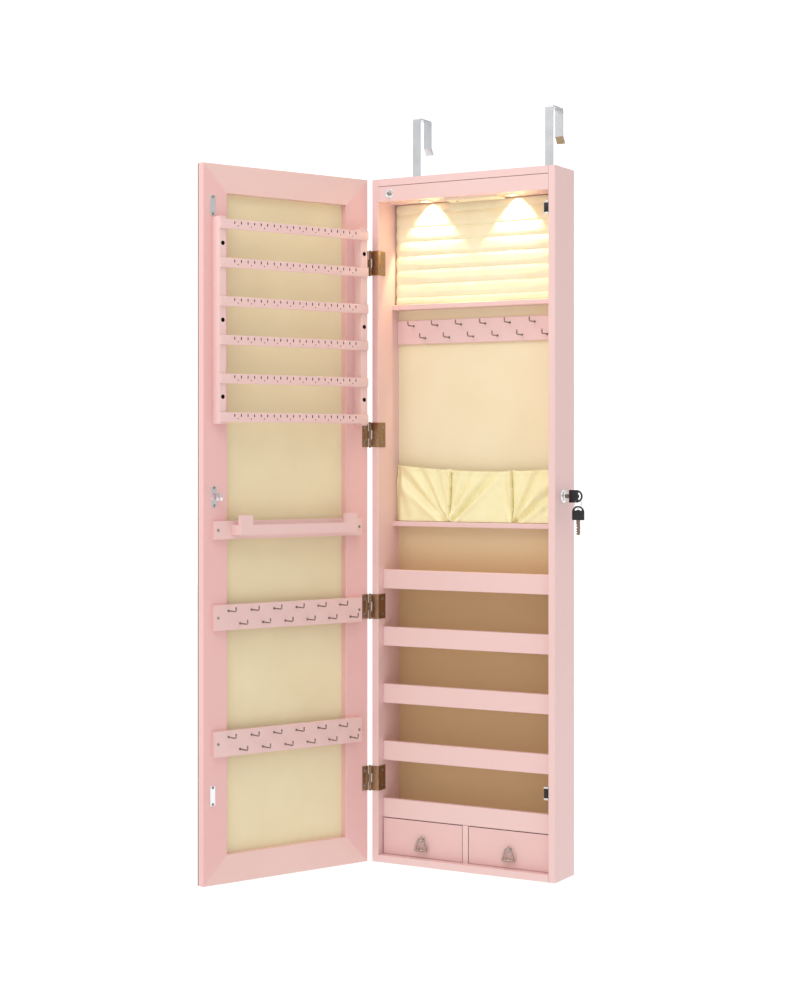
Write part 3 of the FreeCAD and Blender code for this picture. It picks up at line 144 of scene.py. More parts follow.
@dataclass(frozen=True)
class Finish:
    """A surface: its colour, its gloss, a mottle in its colour and a fine relief.

    Sizes are of the real surface, in millimetres.
    """

    name: str
    colour: str
    second: str  # the colour that the mottle runs to
    roughness: float
    mottle: float = 60.0  # width of a patch of the mottle
    relief: float = 1.5  # width of a bump of the relief
    height: float = 0.02  # height of a bump
    metallic: float = 0.0
    stretch: Point = (1.0, 1.0, 1.0)  # how the relief is drawn out along X, Y and Z
    sheen: float = 0.0
    specular: float = 0.5
    weave: float = 0.0  # spacing of woven threads, or none
    glow: float = 0.0
    # a colour below a height, used as painted shade on the back lining
    low: str = ""  # colour below a height, or none
    # heights above the cabinet's foot over which it fades in
    low_span: tuple[float, float] = (0.0, 1.0)
    # on the drawer fronts the edge colour is painted shade for the gaps; on the mirror it is the
    # glass's own edge colour
    edge: str = ""  # colour of a board's edges, or none
    faces: Point = (0.0, 1.0, 0.0)  # where that board's two faces look

    def material(self) -> bpy.types.Material:
        """Makes the material, once.

        Returns:
            The material named for this finish.
        """
        found = bpy.data.materials.get(self.name)
        if found:
            return found
        made = bpy.data.materials.new(self.name)
        made.use_nodes = True
        tree = made.node_tree
        tree.nodes.clear()
        place = add(tree, "ShaderNodeTexCoord").outputs["Object"]
        patches = add(
            tree, "ShaderNodeTexNoise", {"Scale": 1 / (self.mottle * MM), "Detail": 4.0},
            {"Vector": place}
        )
        tone = add(
            tree,
            "ShaderNodeMix",
            {"data_type": "RGBA", 6: linear(self.colour), 7: linear(self.second)},
            {0: patches.outputs["Fac"]},
        )
        colour = tone.outputs[2]
        # painted shade: below a height the colour fades to the low colour
        if self.low:
            height = add(tree, "ShaderNodeSeparateXYZ", None, {"Vector": place}).outputs["Z"]
            low, high = (CORNER.z + level * MM for level in self.low_span)
            fade = add(
                tree,
                "ShaderNodeMapRange",
                {"interpolation_type": "SMOOTHSTEP", "From Min": low, "From Max": high},
                {"Value": height},
            )
            colour = self.mixed(tree, fade.outputs["Result"], linear(self.low), colour)
        # faces that are not the board's two faces take the edge colour; on the drawer fronts that
        # colour is painted shade for the gaps
        if self.edge:
            normal = add(tree, "ShaderNodeTexCoord").outputs["Normal"]
            along = add(
                tree, "ShaderNodeVectorMath", {"operation": "DOT_PRODUCT", 1: self.faces},
                {0: normal}
            )
            flat = add(
                tree, "ShaderNodeMath", {"operation": "ABSOLUTE"}, {0: along.outputs["Value"]}
            )
            front = add(
                tree, "ShaderNodeMath", {"operation": "GREATER_THAN", 1: 0.5}, {0: flat.outputs[0]}
            )
            colour = self.mixed(tree, front.outputs[0], linear(self.edge), colour)
        drawn = add(tree, "ShaderNodeMapping", {"Scale": self.stretch}, {"Vector": place})
        grain = add(
            tree,
            "ShaderNodeTexNoise",
            {"Scale": 1 / (self.relief * MM), "Detail": 3.0, "Roughness": 0.6},
            {"Vector": drawn.outputs["Vector"]},
        )
        relief = grain.outputs["Fac"]
        if self.weave:
            relief = self.threads(tree, place, relief)
        bump = add(
            tree, "ShaderNodeBump", {"Strength": 1.0, "Distance": self.height * MM},
            {"Height": relief}
        )
        gloss = add(
            tree,
            "ShaderNodeMapRange",
            {"To Min": self.roughness * GLOSS_LOW, "To Max": min(self.roughness * GLOSS_HIGH, 1.0)},
            {"Value": grain.outputs["Fac"]},
        )
        surface = add(
            tree,
            "ShaderNodeBsdfPrincipled",
            {
                "Metallic": self.metallic,
                "Sheen Weight": self.sheen,
                "Sheen Roughness": 0.5,
                "Specular IOR Level": self.specular,
                "Emission Color": linear(self.colour),
                "Emission Strength": self.glow,
            },
            {
                "Base Color": colour, "Roughness": gloss.outputs["Result"],
                "Normal": bump.outputs["Normal"]
            },
        )
        add(tree, "ShaderNodeOutputMaterial", None, {"Surface": surface.outputs["BSDF"]})
        return made

    @staticmethod
    def mixed(tree: bpy.types.NodeTree, share: Any, start: tuple[float, ...], end: Any) -> Any:
        """Mixes a fixed colour with one from the tree.

        Args:
            tree: The material's node tree.
            share: The output that says how much of the second colour shows.
            start: The fixed colour.
            end: The output that gives the second colour.

        Returns:
            The output that gives the mix.
        """
        return add(
            tree, "ShaderNodeMix", {"data_type": "RGBA", 6: start}, {0: share, 7: end}
        ).outputs[2]

    def threads(self, tree: bpy.types.NodeTree, place: Any, fuzz: Any) -> Any:
        """Adds warp and weft to the relief.

        Args:
            tree: The material's node tree.
            place: The output that gives the position.
            fuzz: The fine relief under the threads.

        Returns:
            The output that gives the woven relief.
        """
        waves = [
            add(
                tree,
                "ShaderNodeTexWave",
                {"bands_direction": way, "Scale": WAVE_SPAN / (self.weave * MM), "Distortion": 0.6},
                {"Vector": place},
            ).outputs["Fac"]
            for way in ("X", "Z")
        ]
        crossed = add(tree, "ShaderNodeMath", {"operation": "MAXIMUM"}, {0: waves[0], 1: waves[1]})
        half = add(tree, "ShaderNodeMath", {"operation": "MULTIPLY", 1: 0.5}, {0: fuzz})
        return add(
            tree, "ShaderNodeMath", {"operation": "ADD"},
            {0: crossed.outputs[0], 1: half.outputs[0]}
        ).outputs[0]


# sprayed satin lacquer on fibreboard: even and soft, with a faint orange peel
STILE_PAINT = Finish("satin_lacquer_stiles", "#EABDBA", "#E5B4B1", 0.42, 180, 1.6, 0.012)
# the rails' paint dries a little warmer than the stiles', which is what shows the mitres
RAIL_PAINT = Finish("satin_lacquer_rails", "#EAC7C0", "#E5BEB6", 0.42, 180, 1.6, 0.012)
BODY_PAINT = Finish("satin_lacquer", "#E9C8C5", "#E4BFBB", 0.4, 200, 1.6, 0.012)
# flocked lining paper: matt, with a short nap that softens the light
LINING_PAPER = Finish("flocked_lining_paper", "#EEE1BC", "#E2D2AB", 0.95, 90, 0.9, 0.05, sheen=0.25)
# the same paper on the back board, with painted shade: it turns browner below a height, where the
# tiers' shelves shade it
BACK_PAPER_PAINTED_SHADE = Finish(
    "flocked_back_lining_painted_shade", "#F1E4C4", "#E8D8B1", 0.95, 120, 0.9, 0.05,
    sheen=0.25, low="#D2B284", low_span=(480, 690)
)
# drawer fronts: the same lacquer, with painted shade on the edges that face the gaps, dark brown so
# that the gaps read as shadowed lines
GAP_SHADE_PAINT = Finish(
    "satin_lacquer_painted_gap_shade", "#E7C0BD", "#E2B8B4", 0.4, 200, 1.6, 0.012, edge="#54292A"
)
# bare plywood on the back and raw pine in the batten: long grain along Z or X
PLYWOOD = Finish(
    "birch_plywood", "#CDB083", "#B9986A", 0.75, 30, 1.2, 0.05, stretch=(1.0, 1.0, 0.05)
)
PINE = Finish("raw_pine", "#D9BC8B", "#C6A372", 0.7, 20, 1.0, 0.05, stretch=(0.05, 1.0, 1.0))
# float glass silvered behind: the sharpest reflection on the part
SILVERED_GLASS = Finish(
    "silvered_glass", "#E9EEEE", "#E6ECEC", 0.03, 400, 40, 0.0005, 1.0, edge="#5C6863", faces=(
        0.928, -0.371, 0.0
    )
)
# bright zinc plating on rolled strip: a fine rolled grain along the strip
ZINC_STRIP = Finish(
    "bright_zinc_strip", "#DFE0E2", "#BFC1C5", 0.18, 26, 0.8, 0.001, 1.0, (1.0, 1.0, 0.06)
)
ZINC = Finish("zinc_plate", "#B5B0AA", "#8E8983", 0.33, 6, 0.6, 0.004, 1.0)
# antique bronze plating: brown with brassy rub marks
BRONZE = Finish("antique_bronze_plate", "#BC9E7C", "#6F5444", 0.33, 3.5, 0.7, 0.01, 1.0)
# antique silver: dark in the hollows, bright on the rubbed high spots
OLD_SILVER = Finish("antique_silver_plate", "#D9C9C0", "#75615B", 0.26, 2.0, 0.6, 0.015, 1.0)
CHROME = Finish("polished_chrome", "#F6F7F8", "#E4E6E8", 0.1, 8, 1.0, 0.001, 1.0)
NICKEL = Finish("bright_nickel_wire", "#B9AEA6", "#5E534D", 0.2, 7, 0.5, 0.003, 1.0)
DARK_STEEL = Finish("blued_key_blade", "#9A857B", "#7A685F", 0.35, 4, 0.6, 0.004, 1.0)
# injection moulded ABS: a spark-eroded grain
BLACK_ABS = Finish("moulded_black_abs", "#0C0B0C", "#121112", 0.38, 10, 0.5, 0.008)
CREAM_ABS = Finish("moulded_cream_abs", "#F6EBD2", "#F0E3C6", 0.45, 25, 0.6, 0.008)
PALE_POLE = Finish("zinc_pole_plate", "#E6E4E0", "#D6D3CE", 0.3, 4, 0.6, 0.003, 1.0)
# cut-pile velvet over foam: a bright edge at grazing light and a fine nap
VELVET = Finish("cream_velvet", "#F5EED2", "#ECE0B8", 0.9, 25, 0.8, 0.12, sheen=0.3)
# satin weave: long floats with a soft gloss; threads drawn 0.6 mm wide to show
SATIN = Finish("pale_satin", "#F7EFC4", "#F0E5AC", 0.3, 18, 0.9, 0.02, specular=0.7, weave=0.6)
TRAY_BOARD = Finish("plain_tray_board", "#E9D6C4", "#E0CAB5", 0.7, 60, 1.2, 0.02)
CELL_SLEEVE = Finish("shrink_sleeve", "#3C4048", "#343840", 0.35, 10, 0.8, 0.004)
LAMP_LENS = Finish("warm_lamp_lens", "#FFF1C4", "#FFEBB0", 0.3, 4, 0.8, 0.01, glow=9.0)
DARK_HOLE = Finish("shadowed_hole", "#2A1917", "#1F1211", 0.9, 3, 0.6, 0.01)

NODE_FINISHES: dict[Finish, tuple[str, ...]] = {
    BODY_PAINT: (
        "left_side_panel", "right_side_panel", "top_panel", "bottom_panel", "light_valance",
        "light_soffit", "ring_shelf", "pouch_shelf", "tier_shelves", "tier_rails", "necklace_rail",
        "drawer_divider", "bracelet_board", "bracelet_bar", "door_hook_rails",
    ),
    GAP_SHADE_PAINT: ("left_drawer_front", "right_drawer_front"),
    STILE_PAINT: ("door_hinge_stile", "door_latch_stile"),
    RAIL_PAINT: ("door_bottom_rail", "door_top_rail"),
    LINING_PAPER: ("door_lining",),
    BACK_PAPER_PAINTED_SHADE: ("back_lining",),
    PLYWOOD: ("back_panel",),
    PINE: ("hanging_batten",),
    SILVERED_GLASS: ("mirror",),
    ZINC_STRIP: ("over_door_hooks",),
    ZINC: ("lock_nut", "lock_cam"),
    CREAM_ABS: ("battery_box", "battery_cover"),
    CELL_SLEEVE: ("batteries",),
    TRAY_BOARD: ("left_drawer_tray", "right_drawer_tray"),
}


# ---------------------------------------------------------------- working in edit mode


class Pick(Enum):
    """What is selected in edit mode."""

    FACES = "FACE"
    EDGES = "EDGE"
    CORNERS = "VERT"


def select(kind: Pick, test: Callable[[Any], bool]) -> None:
    """Selects, in edit mode, what a test picks, and nothing else.

    Args:
        kind: Faces, edges or corners.
        test: Is given each one and says whether it is wanted.
    """
    bpy.ops.mesh.select_mode(type=kind.value)
    bpy.ops.mesh.select_all(action="DESELECT")
    mesh = bmesh.from_edit_mesh(bpy.context.object.data)
    for item in {Pick.FACES: mesh.faces, Pick.EDGES: mesh.edges, Pick.CORNERS: mesh.verts}[kind]:
        item.select_set(bool(test(item)))
    bmesh.update_edit_mesh(bpy.context.object.data)


def edit(piece: bpy.types.Object) -> None:
    """Opens a piece alone in edit mode."""
    alone(piece)
    bpy.ops.object.mode_set(mode="EDIT")


def close() -> None:
    """Leaves edit mode."""
    bpy.ops.object.mode_set(mode="OBJECT")


def alone(piece: bpy.types.Object) -> None:
    """Selects one piece and nothing else."""
    bpy.ops.object.select_all(action="DESELECT")
    piece.select_set(True)
    bpy.context.view_layer.objects.active = piece


def block(low: Point, high: Point) -> bpy.types.Object:
    """Starts a piece as a block between two corners.

    Args:
        low: Its lowest corner, in millimetres.
        high: Its highest corner.

    Returns:
        The block, with its place in its mesh.
    """
    size = Vector(high) - Vector(low)
    bpy.ops.object.select_all(action="DESELECT")
    bpy.ops.mesh.primitive_cube_add(size=1, location=(Vector(low) + Vector(high)) / 2, scale=size)
    bpy.ops.object.transform_apply()
    return bpy.context.object


def turned(profile: list[tuple[float, float]], sides: int = 32) -> bpy.types.Object:
    """Grows a round piece upwards from a disc, ring by ring.

    Args:
        profile: The radius and the height of each ring, from the lowest.
        sides: Number of sides.

    Returns:
        The closed piece, standing on Z.
    """
    radius, height = profile[0]
    bpy.ops.object.select_all(action="DESELECT")
    bpy.ops.mesh.primitive_circle_add(
        vertices=sides, radius=radius, fill_type="NGON", location=(0, 0, height)
    )
    piece = bpy.context.object
    bpy.ops.object.transform_apply()
    edit(piece)
    bpy.ops.mesh.select_all(action="SELECT")
    for wider, higher in profile[1:]:
        bpy.ops.mesh.extrude_region_move(TRANSFORM_OT_translate={"value": (0, 0, higher - height)})
        bpy.ops.transform.resize(
            value=(wider / radius, wider / radius, 1), center_override=(0, 0, higher)
        )
        radius, height = wider, higher
    bpy.ops.mesh.select_all(action="SELECT")
    bpy.ops.mesh.normals_make_consistent(inside=False)
    close()
    return piece


@dataclass(frozen=True)
class Run:
    """A stretch of bent wire: straight, or an arc about an axis through its centre."""

    length: float = 0.0
    centre: Point | None = None
    axis: Point = (0.0, 0.0, 1.0)
    angle: float = 0.0
    steps: int = 6


def wire(
    radius: float, start: Point, turn: Matrix, runs: Iterable[Run], sides: int = 12
) -> bpy.types.Object:
    """Draws a wire out of a disc along straights and arcs.

    Args:
        radius: The wire's radius.
        start: The middle of its first end.
        turn: Turns the disc, which faces +Z, to face along the wire.
        runs: The stretches in order; an arc's centre and axis are in the piece's frame.
        sides: Number of sides.

    Returns:
        The closed wire.
    """
    bpy.ops.object.select_all(action="DESELECT")
    bpy.ops.mesh.primitive_circle_add(
        vertices=sides, radius=radius, fill_type="NGON", location=start, rotation=turn.to_euler()
    )
    piece = bpy.context.object
    bpy.ops.object.transform_apply()
    heading = turn.to_3x3() @ Vector((0, 0, 1))
    edit(piece)
    bpy.ops.mesh.select_all(action="SELECT")
    for run in runs:
        if run.centre is None:
            bpy.ops.mesh.extrude_region_move(TRANSFORM_OT_translate={"value": heading * run.length})
        else:
            # spin turns the other way from the right-hand rule
            bpy.ops.mesh.spin(steps=run.steps, angle=-run.angle, center=run.centre, axis=run.axis)
            heading = Matrix.Rotation(run.angle, 3, Vector(run.axis)) @ heading
    bpy.ops.mesh.select_all(action="SELECT")
    bpy.ops.mesh.remove_doubles(threshold=0.001)
    bpy.ops.mesh.normals_make_consistent(inside=False)
    close()
    return piece


def bevelled(
    piece: bpy.types.Object, width: float, rounds: int = 2, angle: float = 35.0
) -> bpy.types.Object:
    """Rounds a piece's sharp edges and applies the rounding.

    Args:
        piece: The piece.
        width: Width of the rounding.
        rounds: Number of segments.
        angle: Edges sharper than this, in degrees, are rounded.

    Returns:
        The same piece.
    """
    modifier = piece.modifiers.new("round", "BEVEL")
    modifier.width, modifier.segments, modifier.angle_limit = width, rounds, math.radians(angle)
    modifier.limit_method = "ANGLE"
    return applied(piece)


def applied(piece: bpy.types.Object) -> bpy.types.Object:
    """Applies all of a piece's modifiers and returns the piece."""
    alone(piece)
    for modifier in list(piece.modifiers):
        bpy.ops.object.modifier_apply(modifier=modifier.name)
    return piece


def cut(piece: bpy.types.Object, tools: list[bpy.types.Object]) -> bpy.types.Object:
    """Cuts tools out of a piece and deletes them.

    Args:
        piece: The piece.
        tools: Closed shapes that don't touch each other.

    Returns:
        The same piece.
    """
    tool = joined(tools)
    modifier = piece.modifiers.new("cut", "BOOLEAN")
    modifier.operation, modifier.object, modifier.solver = "DIFFERENCE", tool, "EXACT"
    applied(piece)
    bpy.data.objects.remove(tool)
    return piece


def drills(
    radius: float, reach: float, places: Iterable[Matrix], sides: int = 16
) -> list[bpy.types.Object]:
    """Makes round drills to cut holes with.

    Args:
        radius: The holes' radius.
        reach: How far each drill runs either way along Z from its place.
        places: Where the drills go.
        sides: Number of sides.

    Returns:
        The drills.
    """
    return [copied(turned([(radius, -reach), (radius, reach)], sides), place) for place in places]


def round_corners(plate: bpy.types.Object, radius: float) -> bpy.types.Object:
    """Rounds the corners of a plate that stands in X and Z, and returns the plate."""
    edit(plate)
    select(Pick.EDGES, lambda e: abs(e.verts[0].co.y - e.verts[1].co.y) > 0.5)
    bpy.ops.mesh.bevel(offset=radius, segments=4)
    close()
    return plate


def joined(pieces: list[bpy.types.Object]) -> bpy.types.Object:
    """Joins several pieces into the first and returns it."""
    alone(pieces[0])
    for piece in pieces:
        piece.select_set(True)
    if len(pieces) > 1:
        bpy.ops.object.join()
    return pieces[0]


def copied(piece: bpy.types.Object, place: Matrix) -> bpy.types.Object:
    """Copies a piece with its own mesh to a place.

    Args:
        piece: The model of what repeats.
        place: Where the copy goes, from the model's own frame.

    Returns:
        The copy, with its place in its mesh.
    """
    alone(piece)
    bpy.ops.object.duplicate()
    copy = bpy.context.object
    copy.matrix_world = place
    bpy.ops.object.transform_apply()
    return copy


def repeated(model: bpy.types.Object, places: Iterable[Matrix]) -> bpy.types.Object:
    """Copies a model to several places, joins the copies and removes the model.

    Args:
        model: What repeats.
        places: Where each copy goes.

    Returns:
        The joined copies.
    """
    copies = [copied(model, place) for place in places]
    bpy.data.objects.remove(model)
    return joined(copies)


def at(x: float, y: float, z: float, turn: Matrix | None = None) -> Matrix:
    """A place in millimetres, with a turn if there is one."""
    return Matrix.Translation((x, y, z)) @ (turn or Matrix.Identity(4))


def about(axis: str, degrees: float) -> Matrix:
    """A turn about X, Y or Z."""
    return Matrix.Rotation(math.radians(degrees), 4, axis)


TO_FRONT, TO_BACK = about("X", 90), about("X", -90)  # +Z turned to -Y, and to +Y
TO_RIGHT, TO_LEFT = about("Y", 90), about("Y", -90)  # +Z turned to +X, and to -X


def paint_faces(piece: bpy.types.Object, finish: Finish, test: Callable[[Any], bool]) -> None:
    """Gives some of a piece's faces a finish of their own.

    Args:
        piece: The piece, which has a material already.
        finish: The faces' finish.
        test: Picks the faces.
    """
    piece.data.materials.append(finish.material())
    edit(piece)
    select(Pick.FACES, test)
    piece.active_material_index = len(piece.data.materials) - 1
    bpy.ops.object.material_slot_assign()
    close()


def finished(
    piece: bpy.types.Object,
    name: str,
    frame_of: Matrix,
    body: str,
    finish: Finish,
    nodes: tuple[str, ...] = (),
    smooth: float = 35.0,
) -> bpy.types.Object:
    """Names a piece, puts it where it belongs, dresses it and hands it to its body.

    Args:
        piece: The modelled piece, in millimetres.
        name: Its name.
        frame_of: CABINET or DOOR.
        body: The CAD body that it rides on.
        finish: Its finish, unless it has materials already.
        nodes: The CAD nodes that it stands for.
        smooth: Faces that meet at less than this angle, in degrees, are shaded smooth.

    Returns:
        The finished piece.
    """
    piece.name = piece.data.name = name
    if not piece.data.materials:
        piece.data.materials.append(finish.material())
    alone(piece)
    piece.matrix_world = frame_of
    bpy.ops.object.transform_apply()
    if smooth:
        bpy.ops.object.shade_smooth_by_angle(angle=math.radians(smooth))
    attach(piece, body)
    if nodes:
        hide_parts(*nodes)
    log.info("%s: %d faces", name, len(piece.data.polygons))
    return piece


# ---------------------------------------------------------------- camera, light and floor


@dataclass
class Studio:
    """Camera at the photograph's angle, soft light and a plain pale floor."""

    eye: Point = (1.519, -3.104, -0.602)
    yaw: float = 31.19
    lens: float = 70.78
    shift: tuple[float, float] = (0.094, -0.043)
    floor_z: float = -2.03  # a house door's height below the hooks
    floor_size: float = 30.0
    sky: float = 0.8  # the sky's level away from the backdrop
    backdrop: float = 0.3  # what the lit backdrop adds behind the object
    backdrop_span: tuple[float, float] = (0.68, 0.88)  # cosines off its middle where it fades in
    zenith: float = 0.62  # what the ceiling's soft light adds
    right_shade: float = 0.24  # how much darker the room is on the right
    box_place: Point = (-0.1, -1.8, 0.9)
    box_aim: Point = (0.0, -0.1, -0.6)
    box_size: float = 1.2
    box_watts: float = 11.0
    box_colour: str = "#FFFAF4"

    def camera(self) -> None:
        """Adds the camera and makes it the scene's."""
        data = bpy.data.cameras.new("photo_camera")
        data.lens, data.shift_x, data.shift_y, data.clip_end = self.lens, *self.shift, 60.0
        camera = bpy.data.objects.new("photo_camera", data)
        camera.location = self.eye
        camera.rotation_euler = (math.radians(90), 0, math.radians(self.yaw))
        bpy.context.scene.collection.objects.link(camera)
        bpy.context.scene.camera = camera

    def softbox(self) -> None:
        """Adds the key light, a soft box."""
        data = bpy.data.lights.new("key_softbox", "AREA")
        data.energy, data.size = self.box_watts, self.box_size
        data.color = linear(self.box_colour)[:3]
        lamp = bpy.data.objects.new("key_softbox", data)
        lamp.location = self.box_place
        aim = Vector(self.box_aim) - Vector(self.box_place)
        lamp.rotation_euler = aim.to_track_quat("-Z", "Y").to_euler()
        bpy.context.scene.collection.objects.link(lamp)

    def room(self) -> bpy.types.World:
        """Makes a white room: a lit backdrop, a soft ceiling and a dimmer right side.

        Returns:
            The world.
        """
        world = bpy.data.worlds.new("white_studio")
        world.use_nodes = True
        tree = world.node_tree
        way = add(tree, "ShaderNodeTexCoord").outputs["Generated"]
        back = (-math.sin(math.radians(self.yaw)), math.cos(math.radians(self.yaw)), 0)
        facing = add(tree, "ShaderNodeVectorMath", {"operation": "DOT_PRODUCT", 1: back}, {0: way})
        low, high = self.backdrop_span
        lobe = add(
            tree,
            "ShaderNodeMapRange",
            {
                "interpolation_type": "SMOOTHSTEP", "From Min": low, "From Max": high,
                "To Max": self.backdrop
            },
            {"Value": facing.outputs["Value"]},
        )
        parts = add(tree, "ShaderNodeSeparateXYZ", None, {"Vector": way})
        up = add(tree, "ShaderNodeMath", {"operation": "MAXIMUM", 1: 0.0}, {0: parts.outputs["Z"]})
        overhead = add(tree, "ShaderNodeMath", {"operation": "POWER", 1: 2.0}, {0: up.outputs[0]})
        top = add(
            tree, "ShaderNodeMath", {"operation": "MULTIPLY_ADD", 1: self.zenith, 2: self.sky},
            {0: overhead.outputs[0]}
        )
        side = add(
            tree, "ShaderNodeMath", {"operation": "MULTIPLY_ADD", 1: -self.right_shade},
            {0: parts.outputs["X"], 2: top.outputs[0]},
        )
        level = add(
            tree, "ShaderNodeMath", {"operation": "ADD"},
            {0: side.outputs[0], 1: lobe.outputs["Result"]}
        )
        tree.links.new(level.outputs[0], tree.nodes["Background"].inputs["Strength"])
        tree.nodes["Background"].inputs["Color"].default_value = linear("#FFFFFF")
        return world

    def build(self) -> None:
        """Sets up the light and the floor."""
        scene = bpy.context.scene
        scene.view_settings.view_transform = "Standard"
        scene.world = self.room()
        self.softbox()
        bpy.ops.object.select_all(action="DESELECT")
        bpy.ops.mesh.primitive_plane_add(size=self.floor_size, location=(0, 0, self.floor_z))
        floor = bpy.context.object
        floor.name = "floor"
        bpy.ops.object.transform_apply()
        floor.data.materials.append(
            Finish("matt_floor", "#FFFFFF", "#FDFDFD", 0.9, 900, 8, 0.01).material()
        )
        floor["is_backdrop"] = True


# ---------------------------------------------------------------- soft pieces


@dataclass
class RingPad:
    """Foam rolls under velvet, quilted to the back board."""

    left: float = 13.0
    right: float = 337.0
    bottom: float = 982.5
    top: float = 1160.0
    back: float = 75.5
    front: float = 58.6
    pitch: float = 24.65
    lowest_seam: float = 995.2
    count: int = 7
    groove: float = 2.1
    crown: float = 0.7  # the less, the fuller a roll
    slack: float = 0.16  # how much flatter a loose stretch is
    end_pull: float = 6.0  # how far the rolls draw back at their ends
    end_width: float = 9.0
    pucker: float = 0.35  # height of the puckers along a seam
    pucker_reach: float = 7.0
    cuts: tuple[int, int] = (63, 111)  # across and up
    seam: float = 1.1  # half the width of a seam
    give: float = 1.1  # how far the cloth may move
    pressure: float = 1.2
    stiffness: float = 12.0
    steps: int = 12  # frames of the simulation
    fill: float = 0.75

    def seams(self) -> list[float]:
        """The heights of the stitched seams."""
        return [self.lowest_seam + i * self.pitch for i in range(self.count)]

    def roll(self, z: float, span: tuple[float, float], loose: float) -> float:
        """How far a roll stands out at a height.

        Args:
            z: The height.
            span: The seams below and above.
            loose: How slack this roll is, from 0 to 1.

        Returns:
            The Y of the cloth.
        """
        share = (z - span[0]) / (span[1] - span[0])
        crown = math.sin(math.pi * min(max(share, 0.0), 1.0)) ** self.crown
        return self.front + self.groove - self.groove * crown * (1 - self.slack * loose)

    def build(self) -> None:
        """Builds the pad from a block and lets the cloth swell between its seams."""
        piece = block(
            (self.left, self.front + self.groove, self.bottom), (self.right, self.back, self.top)
        )
        edit(piece)
        select(Pick.EDGES, lambda e: abs(e.verts[0].co.x - e.verts[1].co.x) > 100)
        bpy.ops.mesh.subdivide(number_cuts=self.cuts[0])
        select(Pick.EDGES, lambda e: abs(e.verts[0].co.z - e.verts[1].co.z) > 100)
        bpy.ops.mesh.subdivide(number_cuts=self.cuts[1])
        bpy.ops.mesh.select_all(action="SELECT")
        bpy.ops.mesh.quads_convert_to_tris()
        bpy.ops.mesh.tris_convert_to_quads()
        close()
        self.quilt(piece)
        self.swell(piece)
        piece = finished(
            piece, "ring_pad_rolls", CABINET, "cabinet", VELVET, ("ring_pad",), 60
        )

    def levels(self) -> list[float]:
        """The seams with the pad's foot and head."""
        return [self.bottom, *self.seams(), self.top]

    def on_front(self, place: Vector) -> bool:
        """Whether a point of the block is on the side that is quilted."""
        return place.y <= self.front + self.groove + 1

    def quilt(self, piece: bpy.types.Object) -> None:
        """Pushes the front out into rolls and draws in the ends."""
        levels = self.levels()
        for vertex in piece.data.vertices:
            if not self.on_front(vertex.co):
                continue
            x, z = vertex.co.x, vertex.co.z
            index = max(i for i, level in enumerate(levels[:-1]) if z >= level - 1e-6)
            span = (levels[index], levels[index + 1])
            wander = 0.5 + 0.5 * math.sin(x / 31 + index * 2.1) * math.sin(x / 12.5 + index * 1.3)
            ends = min(x - self.left, self.right - x)
            pull = self.end_pull * max(0.0, 1 - ends / self.end_width) ** 2
            near = max(0.0, 1 - min(z - span[0], span[1] - z) / self.pucker_reach)
            pucker = self.pucker * math.sin(x / 3.1 + index) * near
            vertex.co.y = min(self.roll(z, span, wander) + pull + pucker, self.back - 1)

    def swell(self, piece: bpy.types.Object) -> None:
        """Runs cloth under pressure with the seams held, caps its movement and keeps the result."""
        alone(piece)
        held = piece.vertex_groups.new(name="held")
        levels = self.levels()
        start = [vertex.co.copy() for vertex in piece.data.vertices]
        for vertex in piece.data.vertices:
            at_seam = min(abs(vertex.co.z - level) for level in levels) < self.seam
            if at_seam or not self.on_front(vertex.co):
                held.add([vertex.index], 1.0, "REPLACE")
        cloth = piece.modifiers.new("swell", "CLOTH")
        cloth.settings.vertex_group_mass = "held"
        cloth.settings.use_pressure = True
        cloth.settings.uniform_pressure_force = self.pressure
        cloth.settings.effector_weights.gravity = 0
        cloth.settings.quality = 5
        cloth.settings.tension_stiffness = cloth.settings.compression_stiffness = self.stiffness
        cloth.collision_settings.use_self_collision = False
        for number in range(1, self.steps + 1):
            bpy.context.scene.frame_set(number)
        shaped = piece.evaluated_get(bpy.context.evaluated_depsgraph_get())
        moved = [vertex.co.copy() for vertex in shaped.data.vertices]
        piece.modifiers.clear()
        bpy.context.scene.frame_set(1)
        for vertex, was, now in zip(piece.data.vertices, start, moved):
            step = now - was
            if step.length > self.give:
                step *= self.give / step.length
            vertex.co = was + step
            vertex.co.y = min(max(vertex.co.y, self.front - 0.5), self.back)
            vertex.co.x = min(max(vertex.co.x, self.left), self.right)
            vertex.co.z = min(max(vertex.co.z, self.bottom), self.top)


@dataclass(frozen=True)
class Crease:
    """A fold that runs straight over a hung cloth and widens on its way up."""

    foot: tuple[float, float]  # X, and height above the cloth's lower edge
    head: tuple[float, float]
    depth: float
    width: float
    lap: bool = False  # a pleat, whose left side laps over its right
    lift: float = 0.22  # how far that side stands forward, and over what width
    lift_width: float = 6.0
    widening: float = 1.3  # how much wider the fold is at its head
    shoulder: float = 0.55  # height of the shoulders, and how far out they lie
    shoulder_at: float = 1.9
    fading: float = 0.35  # how much shallower the fold is at its head

    def at(self, x: float, z: float) -> float:
        """How far the fold moves the cloth back at a point; its two shoulders come forward.

        Args:
            x: Where along the cloth.
            z: Height above its lower edge.

        Returns:
            The move, in millimetres.
        """
        run = (self.head[0] - self.foot[0], self.head[1] - self.foot[1])
        length = math.hypot(*run)
        share = ((x - self.foot[0]) * run[0] + (z - self.foot[1]) * run[1]) / length**2
        share = min(max(share, 0.0), 1.0)
        off = math.hypot(x - self.foot[0] - share * run[0], z - self.foot[1] - share * run[1])
        if self.lap:
            right = x > self.foot[0] + share * run[0]
            if right:
                return self.depth * math.exp(-off / self.width)
            return self.depth * -self.lift * math.exp(-((off / self.lift_width) ** 2))
        width = self.width * (1 + self.widening * share)
        valley = math.exp(-((off / width) ** 2))
        shoulders = self.shoulder * math.exp(-(((off - self.shoulder_at * width) / width) ** 2))
        return self.depth * (1 - self.fading * share) * (valley - shoulders)


